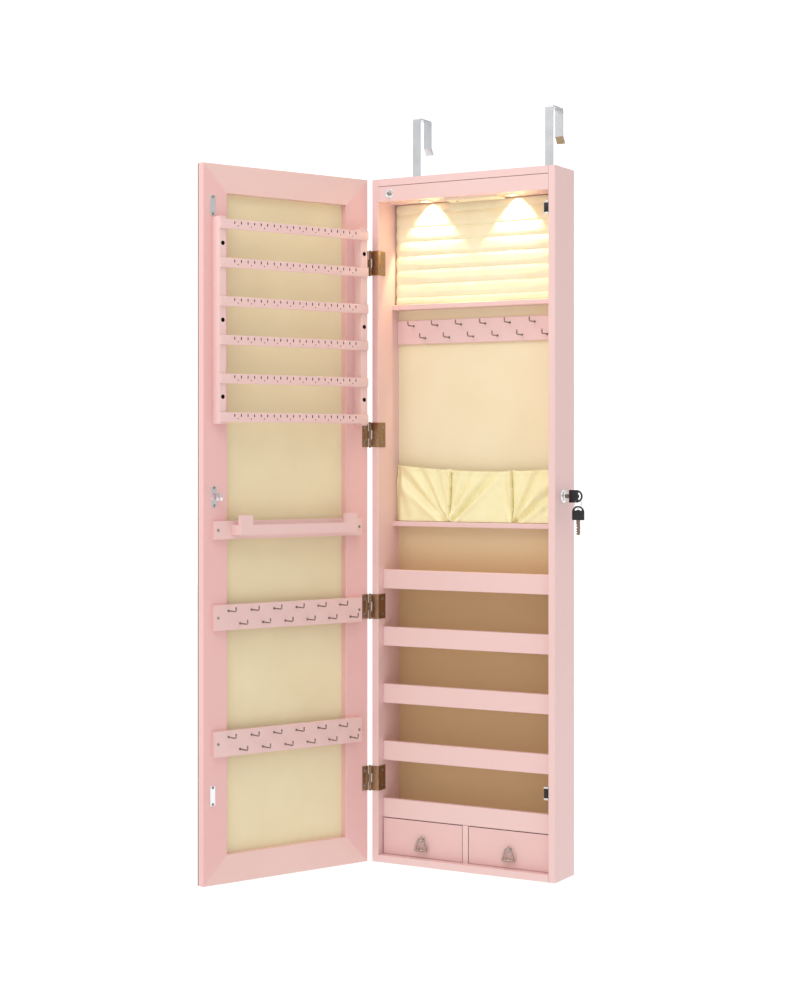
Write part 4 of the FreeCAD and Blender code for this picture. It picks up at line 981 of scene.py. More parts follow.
@dataclass
class Pouch:
    """A satin cloth hung along the shelf, gathered into two pleats and open at its top."""

    left: float = 13.2
    right: float = 336.8
    base: float = 598.5
    corners: tuple[float, float] = (699.0, 692.5)
    sag: float = 8.5
    pleats: tuple[float, float] = (121.0, 244.0)
    back: float = 70.5
    front: float = 54.8
    hang: float = 58.6
    return_depth: float = 11.0  # how far the ends turn back to the sides
    return_width: float = 8.0
    knot: float = 1.3  # depth of the puckers at the gathers
    gather: float = 1.8  # how far the gathers lift the upper edge
    hem: float = 5.5
    hem_fold: float = 1.1
    thickness: float = 0.9
    columns: int = 300
    rows: int = 70
    creases: tuple[Crease, ...] = (
        Crease((121, -6), (124, 84), 11.0, 3.0, lap=True),
        Crease((117, 0), (16, 92), 6.5, 4.4),
        Crease((119, 0), (62, 90), 5.6, 3.2),
        Crease((120, 4), (97, 86), 3.4, 2.6),
        Crease((126, 0), (208, 86), 8.0, 3.2),
        Crease((127, 6), (160, 90), 4.6, 2.8),
        Crease((244, -6), (241, 86), 11.0, 3.0, lap=True),
        Crease((249, 0), (337, 70), 7.0, 3.6),
        Crease((248, 4), (294, 88), 6.0, 3.0),
        Crease((241, 10), (222, 86), 2.6, 3.0),
        Crease((336, 90), (306, 24), 3.4, 3.0),
        Crease((14, 92), (34, 12), 3.0, 3.6),
    )

    def top(self, x: float) -> float:
        """The height of the cloth's upper edge, which sags between its corners."""
        share = (x - self.left) / (self.right - self.left)
        level = self.corners[0] + (self.corners[1] - self.corners[0]) * share
        gather = sum(self.gather * math.exp(-(((x - pleat - 3) / 5) ** 2)) for pleat in self.pleats)
        return level - self.sag * math.sin(math.pi * share) ** 0.9 + gather

    def depth(self, x: float, z: float, roof: float) -> float:
        """The cloth's Y.

        Args:
            x: Where along the shelf.
            z: Height above its lower edge.
            roof: The height of its upper edge there.

        Returns:
            Its distance from the cabinet's front.
        """
        ends = min(x - self.left, self.right - x)
        y = self.hang + self.return_depth * math.exp(-((ends / self.return_width) ** 2))
        y += sum(crease.at(x, z) for crease in self.creases)
        knots = sum(math.exp(-(((x - pleat - 2) / 9) ** 2)) for pleat in self.pleats)
        below = math.exp(-(((roof - 16 - z) / 9) ** 2))
        y += self.knot * knots * math.sin(x * 1.15 + z * 0.2) * below
        y -= self.hem_fold * (1 if roof - self.hem < z else 0.2 * (z > roof - self.hem - 1.4))
        return min(max(y, self.front), self.back)

    def build(self) -> None:
        """Builds the cloth from a grid, hems its edge and gives it its thickness."""
        bpy.ops.object.select_all(action="DESELECT")
        bpy.ops.mesh.primitive_grid_add(
            x_subdivisions=self.columns, y_subdivisions=self.rows, size=1
        )
        piece = bpy.context.object
        for vertex in piece.data.vertices:
            x = self.left + (vertex.co.x + 0.5) * (self.right - self.left)
            roof = self.top(x) - self.base
            z = roof * (vertex.co.y + 0.5)
            vertex.co = (x, self.depth(x, z, roof), self.base + z)
        edit(piece)
        bpy.ops.mesh.select_all(action="SELECT")
        bpy.ops.mesh.vertices_smooth(factor=0.5, repeat=1)
        bpy.ops.mesh.normals_make_consistent(inside=False)
        close()
        wall = piece.modifiers.new("wall", "SOLIDIFY")
        wall.thickness, wall.offset = self.thickness, 0.0
        applied(piece)
        piece = finished(
            piece, "satin_pouch", CABINET, "cabinet", SATIN, ("pouch",), 70
        )


# ---------------------------------------------------------------- hooks and fasteners


@dataclass
class HookRows:
    """Twelve bent wire hooks on a rail, in two staggered rows."""

    pitch: float = 23.5
    row: float = 11.0
    reach: float = 22.0
    tip: float = 8.0
    wire: float = 1.2
    bend: float = 2.5
    bite: float = 4.0
    count: int = 12
    middle: float = 175.0  # where the rails' middles stand
    inner_face: float = 70.0  # the necklace rail's face
    inner_z: float = 933.75
    door_face: float = 5.0  # the door's rails' faces
    door_zs: tuple[float, float] = (444.75, 234.75)

    def hook(self) -> bpy.types.Object:
        """Models one hook that leaves its rail towards -Y, with a collar and a rounded tip.

        Returns:
            The hook, with the rail's face at y = 0.
        """
        runs = [
            Run(length=self.bite + self.reach - self.bend),
            Run(
                centre=(0, -self.reach + self.bend, self.bend), axis=(1, 0, 0),
                angle=math.radians(-90)
            ),
            Run(length=self.tip - self.bend - self.wire * 0.5),
        ]
        hook = wire(self.wire, (0, self.bite, 0), TO_FRONT, runs, 10)
        edit(hook)
        select(Pick.FACES, lambda f: f.normal.z > 0.9 and f.calc_center_median().z > self.tip - 2.5)
        bpy.ops.mesh.inset(thickness=self.wire * 0.35, depth=self.wire * 0.5)
        close()
        collar = turned([(2.1, 0.02), (2.1, 0.5), (1.6, 0.9)], 14)
        collar = copied(collar, TO_FRONT)
        return joined([hook, collar])

    def places(self, x: float, y: float, z: float, first_high: bool, turn: Matrix) -> list[Matrix]:
        """Where the hooks go on one rail.

        Args:
            x: The rail's middle.
            y: The rail's face.
            z: The rail's middle height.
            first_high: Whether the first hook is in the upper row.
            turn: Turns the hooks to leave the rail.

        Returns:
            The places.
        """
        highs = [1 if (i % 2 == 0) == first_high else -1 for i in range(self.count)]
        return [
            at(x + (i - (self.count - 1) / 2) * self.pitch, y, z + high * self.row, turn)
            for i, high in enumerate(highs)
        ]

    def build(self) -> None:
        """Builds the necklace hooks and the door's two rows."""
        inner = self.places(self.middle, self.inner_face, self.inner_z, True, about("Z", 0))
        doors = []
        for z in self.door_zs:
            doors += self.places(self.middle, self.door_face, z, False, about("Z", 180))
        for places, name, frame_of, body, node in (
            (inner, "necklace_wire_hooks", CABINET, "cabinet", "necklace_hooks"),
            (doors, "door_wire_hooks", DOOR, "door", "door_hooks"),
        ):
            finished(
                repeated(self.hook(), places), name, frame_of, body, NICKEL, (node,)
            )


@dataclass
class Screws:
    """Pan-head screws with a cross recess."""

    head: float = 2.6
    height: float = 0.9
    shank: float = 1.1
    length: float = 9.0
    long_length: float = 18.0
    recess: float = 1.6
    arm: float = 0.28  # half the width of the recess's arms
    hinge_base: float = 147.0
    hinge_pitch: float = 302.0
    hinge_spread: float = 13.0
    side_seat: tuple[float, float] = (13.7, 14.0)  # X and Y of the heads on the side's leaves
    leaf_seat: tuple[float, float] = (6.8, -2.7)  # and on the door's leaves
    strap_xs: tuple[float, float] = (46.5, 303.5)
    strap_y: float = 80.1
    strap_zs: tuple[float, float] = (1191.0, 1176.17)
    lid_place: Point = (150.0, 35.0, 1156.5)
    rack_xs: tuple[float, float] = (25.0, 324.5)
    rack_y: float = 8.0
    rack_zs: tuple[float, float, float] = (811.8, 939.0, 1066.2)
    strike_x: float = 331.0
    strike_y: float = -2.0
    strike_zs: tuple[float, ...] = (135.0, 163.0, 1116.0, 1144.0)
    lock_strike_x: float = 328.5
    lock_strike_zs: tuple[float, float] = (631.25, 660.75)
    rail_xs: tuple[float, float] = (26.0, 325.0)
    rail_y: float = 5.0
    rail_zs: tuple[float, float, float] = (590.25, 444.75, 234.75)

    def screw(self, length: float) -> bpy.types.Object:
        """Models one screw that points along -Z, its head's underside at z = 0.

        Args:
            length: The shank's length.

        Returns:
            The screw.
        """
        profile = [
            (0.2, -length), (self.shank, -length + 2.2), (self.shank, -0.01), (self.head, 0.0)
        ]
        domed = ((1.0, 0.3), (0.86, 0.75), (0.55, 1.0))  # shares of the head's radius and height
        profile += [(self.head * wide, self.height * high) for wide, high in domed]
        screw = turned(profile, 20)
        low, high = self.height - 0.55, self.height + 0.4
        for along_x, along_y in ((self.recess, self.arm), (self.arm, self.recess)):
            cut(screw, [block((-along_x, -along_y, low), (along_x, along_y, high))])
        return screw

    def build(self) -> None:
        """Drives the screws of the cabinet and of the door."""
        hinges = (self.hinge_base + i * self.hinge_pitch for i in range(4))
        heights = [z + side * self.hinge_spread for z in hinges for side in (-1, 1)]
        fixed = [at(*self.side_seat, z, TO_RIGHT @ about("Z", z)) for z in heights]
        fixed += [at(x, self.strap_y, z, TO_BACK) for x in self.strap_xs for z in self.strap_zs]
        fixed += [at(*self.lid_place, about("Y", 180))]
        hung = [at(*self.leaf_seat, z, TO_BACK @ about("Z", z)) for z in heights]
        hung += [at(x, self.rack_y, z, TO_BACK) for x in self.rack_xs for z in self.rack_zs]
        hung += [at(self.strike_x, self.strike_y, z, TO_BACK) for z in self.strike_zs]
        hung += [at(self.lock_strike_x, self.strike_y, z, TO_BACK) for z in self.lock_strike_zs]
        rails = [at(x, self.rail_y, z, TO_BACK) for x in self.rail_xs for z in self.rail_zs]
        in_cabinet = repeated(self.screw(self.length), fixed)
        in_door = [
            repeated(self.screw(self.length), hung), repeated(self.screw(self.long_length), rails)
        ]
        for piece, name, frame_of, body in (
            (in_cabinet, "cabinet_screw_heads", CABINET, "cabinet"),
            (joined(in_door), "door_screw_heads", DOOR, "door"),
        ):
            finished(piece, name, frame_of, body, ZINC, (f"{body}_screws",))


# ---------------------------------------------------------------- hinges


@dataclass
class ButtHinges:
    """Four hinges: a leaf that wraps round the side's front edge and one on the door."""

    base: float = 147.0
    pitch: float = 302.0
    count: int = 4
    height: float = 43.0
    axis: tuple[float, float] = (-3.4, -1.5)
    knuckle: float = 2.8
    pin: float = 1.25  # the knuckles' bore
    gap: float = 0.4
    leaf: float = 1.2
    wing: float = 24.0
    flap: float = 13.0
    start: float = 3.7  # from the axis to where the leaves start
    corner: float = 15.9  # from the axis to the side's inner face
    holes: tuple[float, float] = (8.5, 34.5)

    def levels(self) -> list[float]:
        """The heights of the hinges' lower ends."""
        return [self.base + i * self.pitch - self.height / 2 for i in range(self.count)]

    def barrel(self, low: float, high: float) -> bpy.types.Object:
        """Models one knuckle about the pin, with a rolled seam at each end.

        Args:
            low: Its lower end.
            high: Its upper end.

        Returns:
            The knuckle.
        """
        r = self.knuckle
        barrel = turned([(r - 0.3, low), (r, low + 0.3), (r, high - 0.3), (r - 0.3, high)], 28)
        return cut(barrel, [turned([(self.pin, low - 1), (self.pin, high + 1)], 28)])

    def plate(self, low: Point, high: Point, holes: list[bpy.types.Object]) -> bpy.types.Object:
        """Models a leaf with rounded corners, drilled for its screws.

        Args:
            low: Its lowest corner.
            high: Its highest corner.
            holes: The drill's cuts.

        Returns:
            The leaf.
        """
        plate = block(low, high)
        return bevelled(cut(plate, holes) if holes else plate, 0.22, 2, 60)

    def build(self) -> None:
        """Builds the leaves, knuckles and pins of all four hinges."""
        third = (self.height - 2 * self.gap) / 3
        start, corner = self.start, self.corner
        bores = drills(1.35, 3, [at(corner + 0.6, 15.5, z, TO_RIGHT) for z in self.holes])
        fixed = joined([
            self.plate((start, 0.3, 0), (corner + self.leaf, 1.5, self.height), []),
            self.plate((corner, 1.5, 0), (corner + self.leaf, 1.5 + self.wing, self.height), bores),
            self.barrel(0, third),
            self.barrel(self.height - third, self.height),
            self.plate((0.6, 0.3, 0), (start, 1.5, third), []),
            self.plate((0.6, 0.3, self.height - third), (start, 1.5, self.height), []),
        ])
        for name, body, frame_of, model, nodes in (
            ("hinge_leaves_on_side", "cabinet", CABINET, fixed, ("cabinet_hinge_leaves",)),
            ("hinge_leaves_on_door", "door", DOOR, self.door_leaf(third), ("door_hinge_leaves",)),
            ("hinge_pins_with_heads", "cabinet", CABINET, self.headed_pin(), ("hinge_pins",)),
        ):
            whole = repeated(model, [at(*self.axis, z) for z in self.levels()])
            finished(whole, name, frame_of, body, BRONZE, nodes)

    def door_leaf(self, third: float) -> bpy.types.Object:
        """Models the leaf that lies on the door, with its one knuckle.

        Args:
            third: A knuckle's length.

        Returns:
            The leaf.
        """
        low, start = third + self.gap, self.start
        bores = drills(3.0, 3, [at(start + self.flap / 2, -1, z, TO_BACK) for z in self.holes], 20)
        return joined([
            self.plate((start, -1.5, 0), (start + self.flap - 0.3, -0.3, self.height), bores),
            self.barrel(low, low + third),
            self.plate((0.6, -1.5, low), (start, -0.3, low + third), []),
        ])

    def headed_pin(self) -> bpy.types.Object:
        """Models a pin with a domed head at each end."""
        h = self.height
        return turned([(0.7, -1.4), (1.9, -1.2), (2.2, -0.5), (2.2, 0), (1.2, 0.02), (
            1.2, h - 0.02
        ),
                       (2.2, h), (2.2, h + 0.5), (1.9, h + 1.2), (0.7, h + 1.4)], 24)


# ---------------------------------------------------------------- earring rack


@dataclass
class EarringRack:
    """Two uprights and six slats with a row of slots for wires and a row of holes for studs."""

    left: float = 18.0
    right: float = 331.5
    door: float = -3.0
    face: float = 18.0
    upright: float = 14.0
    foot: float = 767.0
    head: float = 1111.0
    bore: float = 3.7
    bore_depth: float = 10.0
    bores: tuple[float, float, float] = (811.8, 939.0, 1066.2)
    thickness: float = 3.5
    height: float = 16.0
    base: float = 770.0
    pitch: float = 64.0
    count: int = 6
    slots: int = 20
    slot_pitch: float = 13.5
    slot: tuple[float, float] = (1.8, 5.0)
    slot_low: float = 8.5
    stud: float = 1.0
    stud_z: float = 5.6

    def uprights(self) -> None:
        """Builds the two uprights, counterbored for the screws that hold them to the door."""
        posts = []
        for left in (self.left, self.right - self.upright):
            post = block((left, self.door, self.foot), (left + self.upright, self.face, self.head))
            bevelled(post, 0.6, 2)
            middle = left + self.upright / 2
            drill = turned(
                [(self.bore, self.face - self.bore_depth), (self.bore, self.face + 1)], 32
            )
            cut(post, [copied(drill, at(middle, 0, z, TO_BACK)) for z in self.bores])
            post.data.materials.append(BODY_PAINT.material())
            paint_faces(
                post,
                DARK_HOLE,
                lambda f: math.dist(f.calc_center_median().xz, (middle, min(
                    self.bores, key=lambda z: abs(z - f.calc_center_median().z)))) < self.bore + 0.1
                and self.face - self.bore_depth - 0.1 < f.calc_center_median().y < self.face - 0.5,
            )
            posts.append(post)
        finished(
            joined(posts), "bored_rack_uprights", DOOR, "door", BODY_PAINT, (
                "rack_uprights",
            )
        )

    def build(self) -> None:
        """Builds the uprights and one slat, drills and slots it, and repeats it up the rack."""
        self.uprights()
        slat = block(
            (self.left, self.face, 0), (self.right, self.face + self.thickness, self.height)
        )
        bevelled(slat, 0.5, 2)
        middle = (self.left + self.right) / 2
        first = middle - (self.slots - 1) * self.slot_pitch / 2
        width, tall = self.slot
        low = (-width / 2, self.face - 2, self.slot_low)
        high = (width / 2, self.face + 6, self.slot_low + tall)
        cutter = bevelled(block(low, high), 0.6, 2)
        tools = [copied(cutter, at(first + i * self.slot_pitch, 0, 0)) for i in range(self.slots)]
        drill = turned([(self.stud, -8), (self.stud, 8)], 12)
        drill = copied(drill, TO_BACK)
        for i in range(0, self.slots - 1, 2):
            x = first + (i + 0.5) * self.slot_pitch
            tools.append(copied(drill, at(x, self.face, self.stud_z)))
        for model in (cutter, drill):
            bpy.data.objects.remove(model)
        cut(slat, tools)
        slat.data.materials.append(BODY_PAINT.material())
        reach = self.slots * self.slot_pitch + 4
        paint_faces(
            slat,
            DARK_HOLE,
            lambda f: abs(f.calc_center_median().x - middle) < reach / 2
            and self.face + 0.4 < f.calc_center_median().y < self.face + self.thickness - 0.4
            and 2 < f.calc_center_median().z < self.height - 2,
        )
        whole = repeated(slat, [at(0, 0, self.base + i * self.pitch) for i in range(self.count)])
        finished(
            whole, "slotted_earring_slats", DOOR, "door", BODY_PAINT,
            ("earring_slats",)
        )


# ---------------------------------------------------------------- catches and strikes


@dataclass
class Catches:
    """Magnetic catches in the body, with their strikes and the lock's strike on the door."""

    levels: tuple[float, float] = (149.0, 1130.0)
    height: float = 22.0
    pole: float = 3.0
    width: float = 7.6
    depth: float = 13.0
    right: float = 337.5
    front: float = -1.5
    strike_left: float = 326.0
    strike_height: float = 34.0
    hole: float = 1.35
    lock_z: float = 646.0

    def catch(self) -> bpy.types.Object:
        """Models one catch: a moulded box between two pole plates."""
        low = self.right - self.width
        housing = block(
            (low, self.front + 0.6, self.pole),
            (self.right, self.front + self.depth, self.height - self.pole)
        )
        bevelled(housing, 0.5, 2)
        housing.data.materials.append(BLACK_ABS.material())
        poles = []
        for z in (0.0, self.height - self.pole):
            plate = block(
                (low, self.front, z), (self.right, self.front + self.depth, z + self.pole)
            )
            plate.data.materials.append(PALE_POLE.material())
            poles.append(bevelled(plate, 0.35, 2))
        return joined([housing, *poles])

    def strike(self) -> bpy.types.Object:
        """Models a thin strike plate with rounded ends and two holes."""
        plate = round_corners(block((0, -3, 0), (10, -2, self.strike_height)), 2.5)
        holes = drills(self.hole, 4, [at(5, -2.5, z, TO_BACK) for z in (3, self.strike_height - 3)])
        return bevelled(cut(plate, holes), 0.15, 1, 60)

    def lock_strike(self) -> bpy.types.Object:
        """Models the lock's strike: a windowed plate and a bent tongue."""
        z = self.lock_z
        plate = round_corners(block((323.5, -3, z - 17.75), (333.5, -2, z + 17.75)), 2.2)
        window = block((329.9, -4, z - 6), (331.9, -1, z + 6))
        holes = drills(
            self.hole, 4, [at(328.5, -2.5, z + side * 14.75, TO_BACK) for side in (-1, 1)]
        )
        cut(plate, [window, *holes])
        tongue = block((328.5, -3, z - 6), (329.7, 21.8, z + 6))
        edit(tongue)
        select(Pick.FACES, lambda f: f.normal.y > 0.9)
        bpy.ops.mesh.extrude_region_move(TRANSFORM_OT_translate={"value": (0, 1.2, 0)})
        select(Pick.FACES, lambda f: f.normal.x > 0.9 and f.calc_center_median().y > 21.9)
        bpy.ops.mesh.extrude_region_move(TRANSFORM_OT_translate={"value": (2.8, 0, 0)})
        close()
        bevelled(tongue, 0.3, 2)
        return joined([bevelled(plate, 0.15, 1, 60), tongue])

    def build(self) -> None:
        """Builds the catches and all strikes."""
        catches = repeated(self.catch(), [at(0, 0, z - self.height / 2) for z in self.levels])
        finished(
            catches, "magnet_catches", CABINET, "cabinet", BLACK_ABS,
            ("magnetic_catches",)
        )
        half, left = self.strike_height / 2, self.strike_left
        strikes = repeated(self.strike(), [at(left, 0, z - half) for z in self.levels])
        for piece, name, node in (
            (strikes, "strike_plates", "magnet_strikes"),
            (self.lock_strike(), "lock_strike_tongue", "lock_strike"),
        ):
            finished(piece, name, DOOR, "door", CHROME, (node,))


# ---------------------------------------------------------------- lock, keys and ring


@dataclass
class LockAndKeys:
    """Chrome cam lock, the key in it, a thin ring and the spare key that hangs from it."""

    y: float = 35.3
    z: float = 646.0
    face: float = 350.0
    bezel: float = 3.0
    proud: float = 1.2
    neck: float = 6.0
    head_length: float = 24.0
    head_width: float = 21.4
    head_thickness: float = 3.4
    rim: float = 2.6
    slot: float = 3.6
    slot_angle: float = 62.0
    blade: Point = (25.0, 6.5, 2.0)  # length, width and thickness
    bits: tuple[Point, ...] = ((7, 2.2, 1.1), (11.5, 2.0, 2.0), (15.8, 2.2, 1.2), (20, 1.8, 1.7))
    ring: float = 7.3
    ring_wire: float = 0.45
    ring_turn: float = 60.0
    slack: float = 1.55

    def barrel(self) -> bpy.types.Object:
        """Models the lock's barrel, with its domed bezel and its bore."""
        profile = [
            (9, -18), (9, -0.01), (11.5, 0), (11.5, 0.7), (11.0, 1.6), (9.4, 2.6), (8.0, 3.0),
            (6.6, 2.7)
        ]
        return cut(turned(profile, 48), [turned([(5.58, -19), (5.58, 4)], 40)])

    def plug(self) -> bpy.types.Object:
        """Models the plug with its keyway, its end and the square that carries the cam."""
        end = self.bezel + self.proud
        plug = turned([(5.5, -18.3), (5.5, end - 0.5), (5.0, end)], 40)
        keyway = block((-3.45, -1.2, end - 21.6 + 2), (3.45, 1.2, end + 1))
        square = bevelled(block((-3.5, -3.5, -21.8), (3.5, 3.5, -18.2)), 0.4, 2)
        return joined([cut(plug, [keyway]), square])

    def key(self) -> bpy.types.Object:
        """Models a key: head from x = 0 to its round end, blade towards -X, flat across Y.

        Returns:
            The key, dressed.
        """
        half, flat = self.head_width / 2, self.head_length - self.head_width / 2
        head = copied(
            turned([(half, -self.head_thickness / 2), (half, self.head_thickness / 2)], 56),
            at(flat, 0, 0, TO_FRONT)
        )
        edit(head)
        select(Pick.CORNERS, lambda v: v.co.x < flat - 0.1)
        bpy.ops.transform.resize(value=(0, 1, 1), center_override=(flat, 0, 0))
        bpy.ops.transform.translate(value=(-flat, 0, 0))
        bpy.ops.mesh.remove_doubles(threshold=0.02)
        close()
        head = self.pointed(head)
        cut(head, [self.arc_slot(flat)])
        bevelled(head, 0.55, 3, 50)
        head.data.materials.append(BLACK_ABS.material())
        length, width, thick = self.blade
        blade = block((-length, -thick / 2, -width / 2), (0.4, thick / 2, width / 2))
        edit(blade)
        select(
            Pick.EDGES,
            lambda e: max(v.co.x for v in e.verts) < -length + 0.1
            and abs(e.verts[0].co.y - e.verts[1].co.y) > 1,
        )
        bpy.ops.mesh.bevel(offset=2.4, segments=3)
        close()
        for place, wide, deep in self.bits:
            cut(blade, [block((-place - wide, -2, width / 2 - deep), (-place, 2, 4))])
        cut(blade, [block((-length - 1, -thick / 2 - 1, -0.4), (-4, -thick / 2 + 0.5, 0.9))])
        bevelled(blade, 0.12, 1, 40)
        blade.data.materials.append(DARK_STEEL.material())
        return joined([head, blade])

    def pointed(self, head: bpy.types.Object) -> bpy.types.Object:
        """Squares the flat end's two corners, which the round outline leaves short."""
        half = self.head_width / 2
        edit(head)
        for side in (-1, 1):
            select(Pick.CORNERS, lambda v: v.co.x < 0.1 and v.co.z * side > half - 0.9)
            bpy.ops.transform.resize(value=(1, 1, 0), center_override=(0, 0, side * half))
        bpy.ops.mesh.select_all(action="SELECT")
        bpy.ops.mesh.remove_doubles(threshold=0.02)
        bpy.ops.mesh.normals_make_consistent(inside=False)
        close()
        return head

    def arc_slot(self, flat: float) -> bpy.types.Object:
        """Models the tool for the head's curved slot, spun about the round end's centre."""
        outer = self.head_width / 2 - self.rim
        inner = outer - self.slot
        sweep = math.radians(self.slot_angle)
        bpy.ops.object.select_all(action="DESELECT")
        bpy.ops.mesh.primitive_plane_add(size=1)
        tool = bpy.context.object
        place = at(flat, 0, 0, about("Y", math.degrees(sweep))) @ at((inner + outer) / 2, 0, 0)
        tool.matrix_world = place @ Matrix.Diagonal((self.slot, 6, 1, 1))
        bpy.ops.object.transform_apply()
        edit(tool)
        bpy.ops.mesh.select_all(action="SELECT")
        bpy.ops.mesh.spin(steps=20, angle=2 * sweep, center=(flat, 0, 0), axis=(0, 1, 0))
        bpy.ops.mesh.select_all(action="SELECT")
        bpy.ops.mesh.normals_make_consistent(inside=False)
        close()
        return tool

    def build(self) -> None:
        """Builds the lock, the key in it, the ring and the spare key."""
        place = at(self.face, self.y, self.z, TO_RIGHT)
        bezel = copied(self.barrel(), place)
        finished(bezel, "lock_bezel", CABINET, "cabinet", CHROME, ("lock_barrel",))
        plug = copied(self.plug(), place)
        finished(
            plug, "lock_plug_face", CABINET, "lock_key_set", CHROME, ("lock_plug",)
        )
        key_x = self.face + self.bezel + self.proud + self.neck
        key = self.key()
        flat = self.head_length - self.head_width / 2
        middle = self.head_width / 2 - self.rim - self.slot / 2
        sweep = math.radians(self.slot_angle)
        ring_x = key_x + flat + middle * math.cos(sweep)
        ring_top = self.z - middle * math.sin(sweep)
        first = copied(key, at(key_x, self.y, self.z))
        spare_z = ring_top - 2 * self.ring + self.slack - (self.head_length - self.rim)
        spare = copied(key, at(ring_x, self.y, spare_z, TO_LEFT))
        bpy.data.objects.remove(key)
        finished(
            first, "key_in_lock", CABINET, "lock_key_set", BLACK_ABS, ("lock_key",)
        )
        finished(
            spare, "spare_key_on_ring", CABINET, "hanging_key", BLACK_ABS,
            ("spare_key",)
        )
        stand = about("Z", self.ring_turn) @ about("X", 90)
        start = Vector((self.ring, 0, 0))
        half_turn = Run(centre=(0, 0, 0), axis=(0, 0, 1), angle=math.radians(179.9), steps=32)
        ring = wire(self.ring_wire, tuple(start), about("X", -90), [half_turn] * 2, 10)
        ring = copied(ring, at(ring_x, self.y, ring_top - self.ring, stand))
        finished(ring, "split_ring", CABINET, "ring_on_key", NICKEL, ("key_ring",))


# ---------------------------------------------------------------- drawer pulls


@dataclass
class DropPulls:
    """A stud with a triangular drop on each drawer."""

    middles: tuple[float, float] = (91.25, 258.75)
    z: float = 45.0
    front: float = 16.0
    length: float = 8.5
    setback: float = 2.6
    wire: float = 1.2
    bar: float = 2.3
    top: float = 11.0
    width: float = 22.0
    drop: float = 18.0

    def stud(self) -> bpy.types.Object:
        """Models the stud, with its beaded foot and domed head, drilled for the drop."""
        profile = [
            (1.85, -5), (1.85, -0.01), (4.6, 0), (4.6, 0.7), (4.0, 1.5), (3.1, 1.9), (2.9, 3.2),
            (3.0, 6.7), (3.7, 6.8), (3.7, 7.6), (2.9, 8.3), (1.4, 8.5),
        ]
        stud = copied(turned(profile, 28), TO_FRONT)
        return cut(stud, drills(1.3, 6, [at(0, -self.length + self.setback, 0, TO_RIGHT)], 20))

    def bail(self) -> bpy.types.Object:
        """Models the drop: a bar through the stud, two slanted arms and a beaded bottom bar."""
        half_top, half_low = self.top / 2, self.width / 2
        slope = math.atan2(half_low - half_top, self.drop)
        arm_length = math.hypot(half_low - half_top, self.drop)
        thin = self.wire * 0.9
        pivot = [
            (thin, -half_top), (self.wire, -half_top + 0.6), (self.wire, half_top - 0.6),
            (thin, half_top),
        ]
        parts = [copied(turned(pivot, 20), TO_RIGHT)]
        arm = turned(
            [
                (0.9, -1.1), (1.5, 0), (1.2, 1.6), (1.6, 3.4), (1.2, 5), (1.9, 7.2), (1.3, 9.4),
                (2.0, 11.8), (1.4, 14), (2.2, arm_length - 2), (1.8, arm_length),
            ],
            20,
        )
        for side in (-1, 1):
            parts.append(
                copied(arm, at(side * half_top, 0, 0, about("Y", 180 - side * math.degrees(slope))))
            )
        bpy.data.objects.remove(arm)
        low = half_low + self.bar / 2
        beads = [
            (1.3, -low), (2.3, -low + 0.7), (2.7, -low + 2.0), (2.2, -low + 3.4),
            (1.8, -low + 4.0), (2.4, -5.6), (2.0, -4.3), (1.9, -3.9), (2.6, -2.2), (2.8, 0),
        ]
        beads += [(r, -x) for r, x in reversed(beads[:-1])]
        parts.append(copied(turned(beads, 24), at(0, 0, -self.drop, TO_RIGHT)))
        return joined(parts)

    def build(self) -> None:
        """Builds both pulls."""
        for side, x in zip(("left", "right"), self.middles):
            stud = copied(self.stud(), at(x, self.front, self.z))
            finished(
                stud, f"{side}_pull_stud", CABINET, f"{side}_drawer", OLD_SILVER,
                (f"{side}_pull_post",),
            )
            bail = copied(self.bail(), at(x, self.front - self.length + self.setback, self.z))
            finished(
                bail, f"{side}_drop_bail", CABINET, f"{side}_pull", OLD_SILVER,
                (f"{side}_pull_bail",),
            )


# ---------------------------------------------------------------- lamps and switch


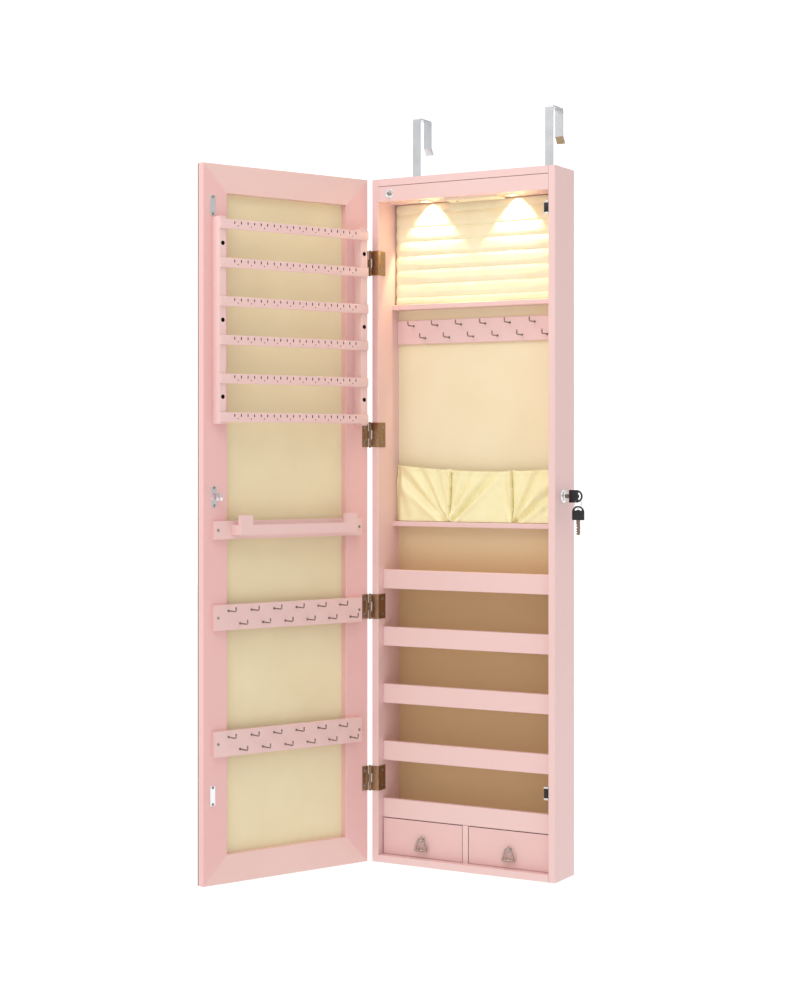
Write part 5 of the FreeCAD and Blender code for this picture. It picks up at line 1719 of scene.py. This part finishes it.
@dataclass
class LightBox:
    """Two warm lamps under the soffit and the door's plunger switch."""

    lamps: tuple[float, float] = (89.0, 255.0)
    lamp_y: float = 35.0
    soffit: float = 1160.5
    radius: float = 10.0
    switch_x: float = 34.5
    switch_z: float = 1173.5
    watts: float = 2.2
    cone: float = 95.0
    tilt: float = 27.0  # the beam leans back to the pad
    glow_y: float = 47.0  # where the light leaves the lamp, at its back rim
    glow_drop: float = 2.5
    glow_size: float = 4.0
    blend: float = 0.25  # how soft the cone's edge is
    colour: str = "#FFE7AE"

    def lamp(self) -> bpy.types.Object:
        """Models one lamp: a body, a flange below the soffit and a lens set in it."""
        r = self.radius
        body = turned(
            [
                (r - 2.6, -0.6), (r - 1.6, -1.5), (r + 1.4, -1.5), (r + 2, -0.9), (r + 2, -0.05),
                (r, 0), (r, 9)
            ],
            40
        )
        edit(body)
        select(
            Pick.FACES, lambda f: f.normal.z < -0.9 and abs(f.calc_center_median().z + 0.6) < 0.05
        )
        bpy.ops.mesh.inset(thickness=1.2, depth=-0.3)
        bpy.ops.mesh.inset(thickness=2.2, depth=0.5)
        close()
        body.data.materials.append(CREAM_ABS.material())
        paint_faces(
            body,
            LAMP_LENS,
            lambda f: max(Vector(v.co[:2]).length for v in f.verts) < r - 3.5
            and f.calc_center_median().z < 0,
        )
        return body

    def shine(self) -> None:
        """Adds the lamps' light, a warm cone each."""
        for number, x in enumerate(self.lamps):
            data = bpy.data.lights.new(f"warm_lamp_{number + 1}", "SPOT")
            data.energy, data.color = self.watts, linear(self.colour)[:3]
            data.spot_size, data.spot_blend = math.radians(self.cone), self.blend
            data.shadow_soft_size = self.glow_size * MM
            lamp = bpy.data.objects.new(data.name, data)
            lamp.location = CORNER + Vector((x, self.glow_y, self.soffit - self.glow_drop)) * MM
            lamp.rotation_euler = (math.radians(self.tilt), 0, 0)
            bpy.context.scene.collection.objects.link(lamp)

    def switch(self) -> None:
        """Builds the switch's ring, sunk in the valance, and its plunger."""
        ring = turned(
            [(6.5, -20), (6.5, -0.01), (8.3, 0), (8.3, 0.5), (7.7, 1.1), (6.2, 1.2), (5.4, 0.9)], 40
        )
        cut(ring, [turned([(4.1, -21), (4.1, 3)], 32)])
        place = at(self.switch_x, 0, self.switch_z, TO_FRONT)
        finished(
            copied(ring, place), "switch_ring", CABINET, "cabinet", CHROME,
            ("switch_bezel",)
        )
        plunger = turned([(4.0, -16.6), (4.0, 1.6), (3.6, 2.3), (2.4, 2.6)], 32)
        for turn in (45, 135):
            cut(plunger, [copied(block((-2.9, -0.35, 1.9), (2.9, 0.35, 3.2)), about("Z", turn))])
        finished(
            copied(plunger, place), "switch_button", CABINET, "light_switch", ZINC,
            ("switch_plunger",),
        )

    def build(self) -> None:
        """Builds the lamps, their light and the switch."""
        lamps = repeated(self.lamp(), [at(x, self.lamp_y, self.soffit) for x in self.lamps])
        finished(
            lamps, "lamp_rings_and_lenses", CABINET, "cabinet", CREAM_ABS,
            ("led_lamps",)
        )
        self.shine()
        self.switch()


# ---------------------------------------------------------------- assembly


@dataclass
class DressedBoards:
    """The CAD nodes that keep their own mesh and get their finishes here."""

    finishes: dict[Finish, tuple[str, ...]] = field(default_factory=lambda: NODE_FINISHES)

    def build(self) -> None:
        """Dresses each node."""
        for finish, names in self.finishes.items():
            for name in names:
                data = frame["nodes"][name].data
                data.materials.clear()
                data.materials.append(finish.material())
            log.info("%s on %s", finish.name, ", ".join(names))


def clear_models() -> None:
    """Removes the models that were only copied from, which ride on nothing."""
    for piece in [o for o in bpy.context.scene.objects if o.type == "MESH"]:
        if body_of(piece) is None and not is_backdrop(piece):
            bpy.data.objects.remove(piece)


def main() -> None:
    """Builds the scene."""
    logging.basicConfig(level=logging.INFO, format="%(name)s: %(message)s")
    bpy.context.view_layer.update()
    studio = Studio()
    studio.camera()
    for assembly in (
        studio, DressedBoards(), RingPad(), Pouch(), HookRows(), Screws(), ButtHinges(),
        EarringRack(), Catches(), LockAndKeys(), DropPulls(), LightBox(),
    ):
        assembly.build()
        log.info("%s is done", type(assembly).__name__)
    clear_models()
    bpy.ops.object.select_all(action="DESELECT")


if __name__ == "__main__":
    main()
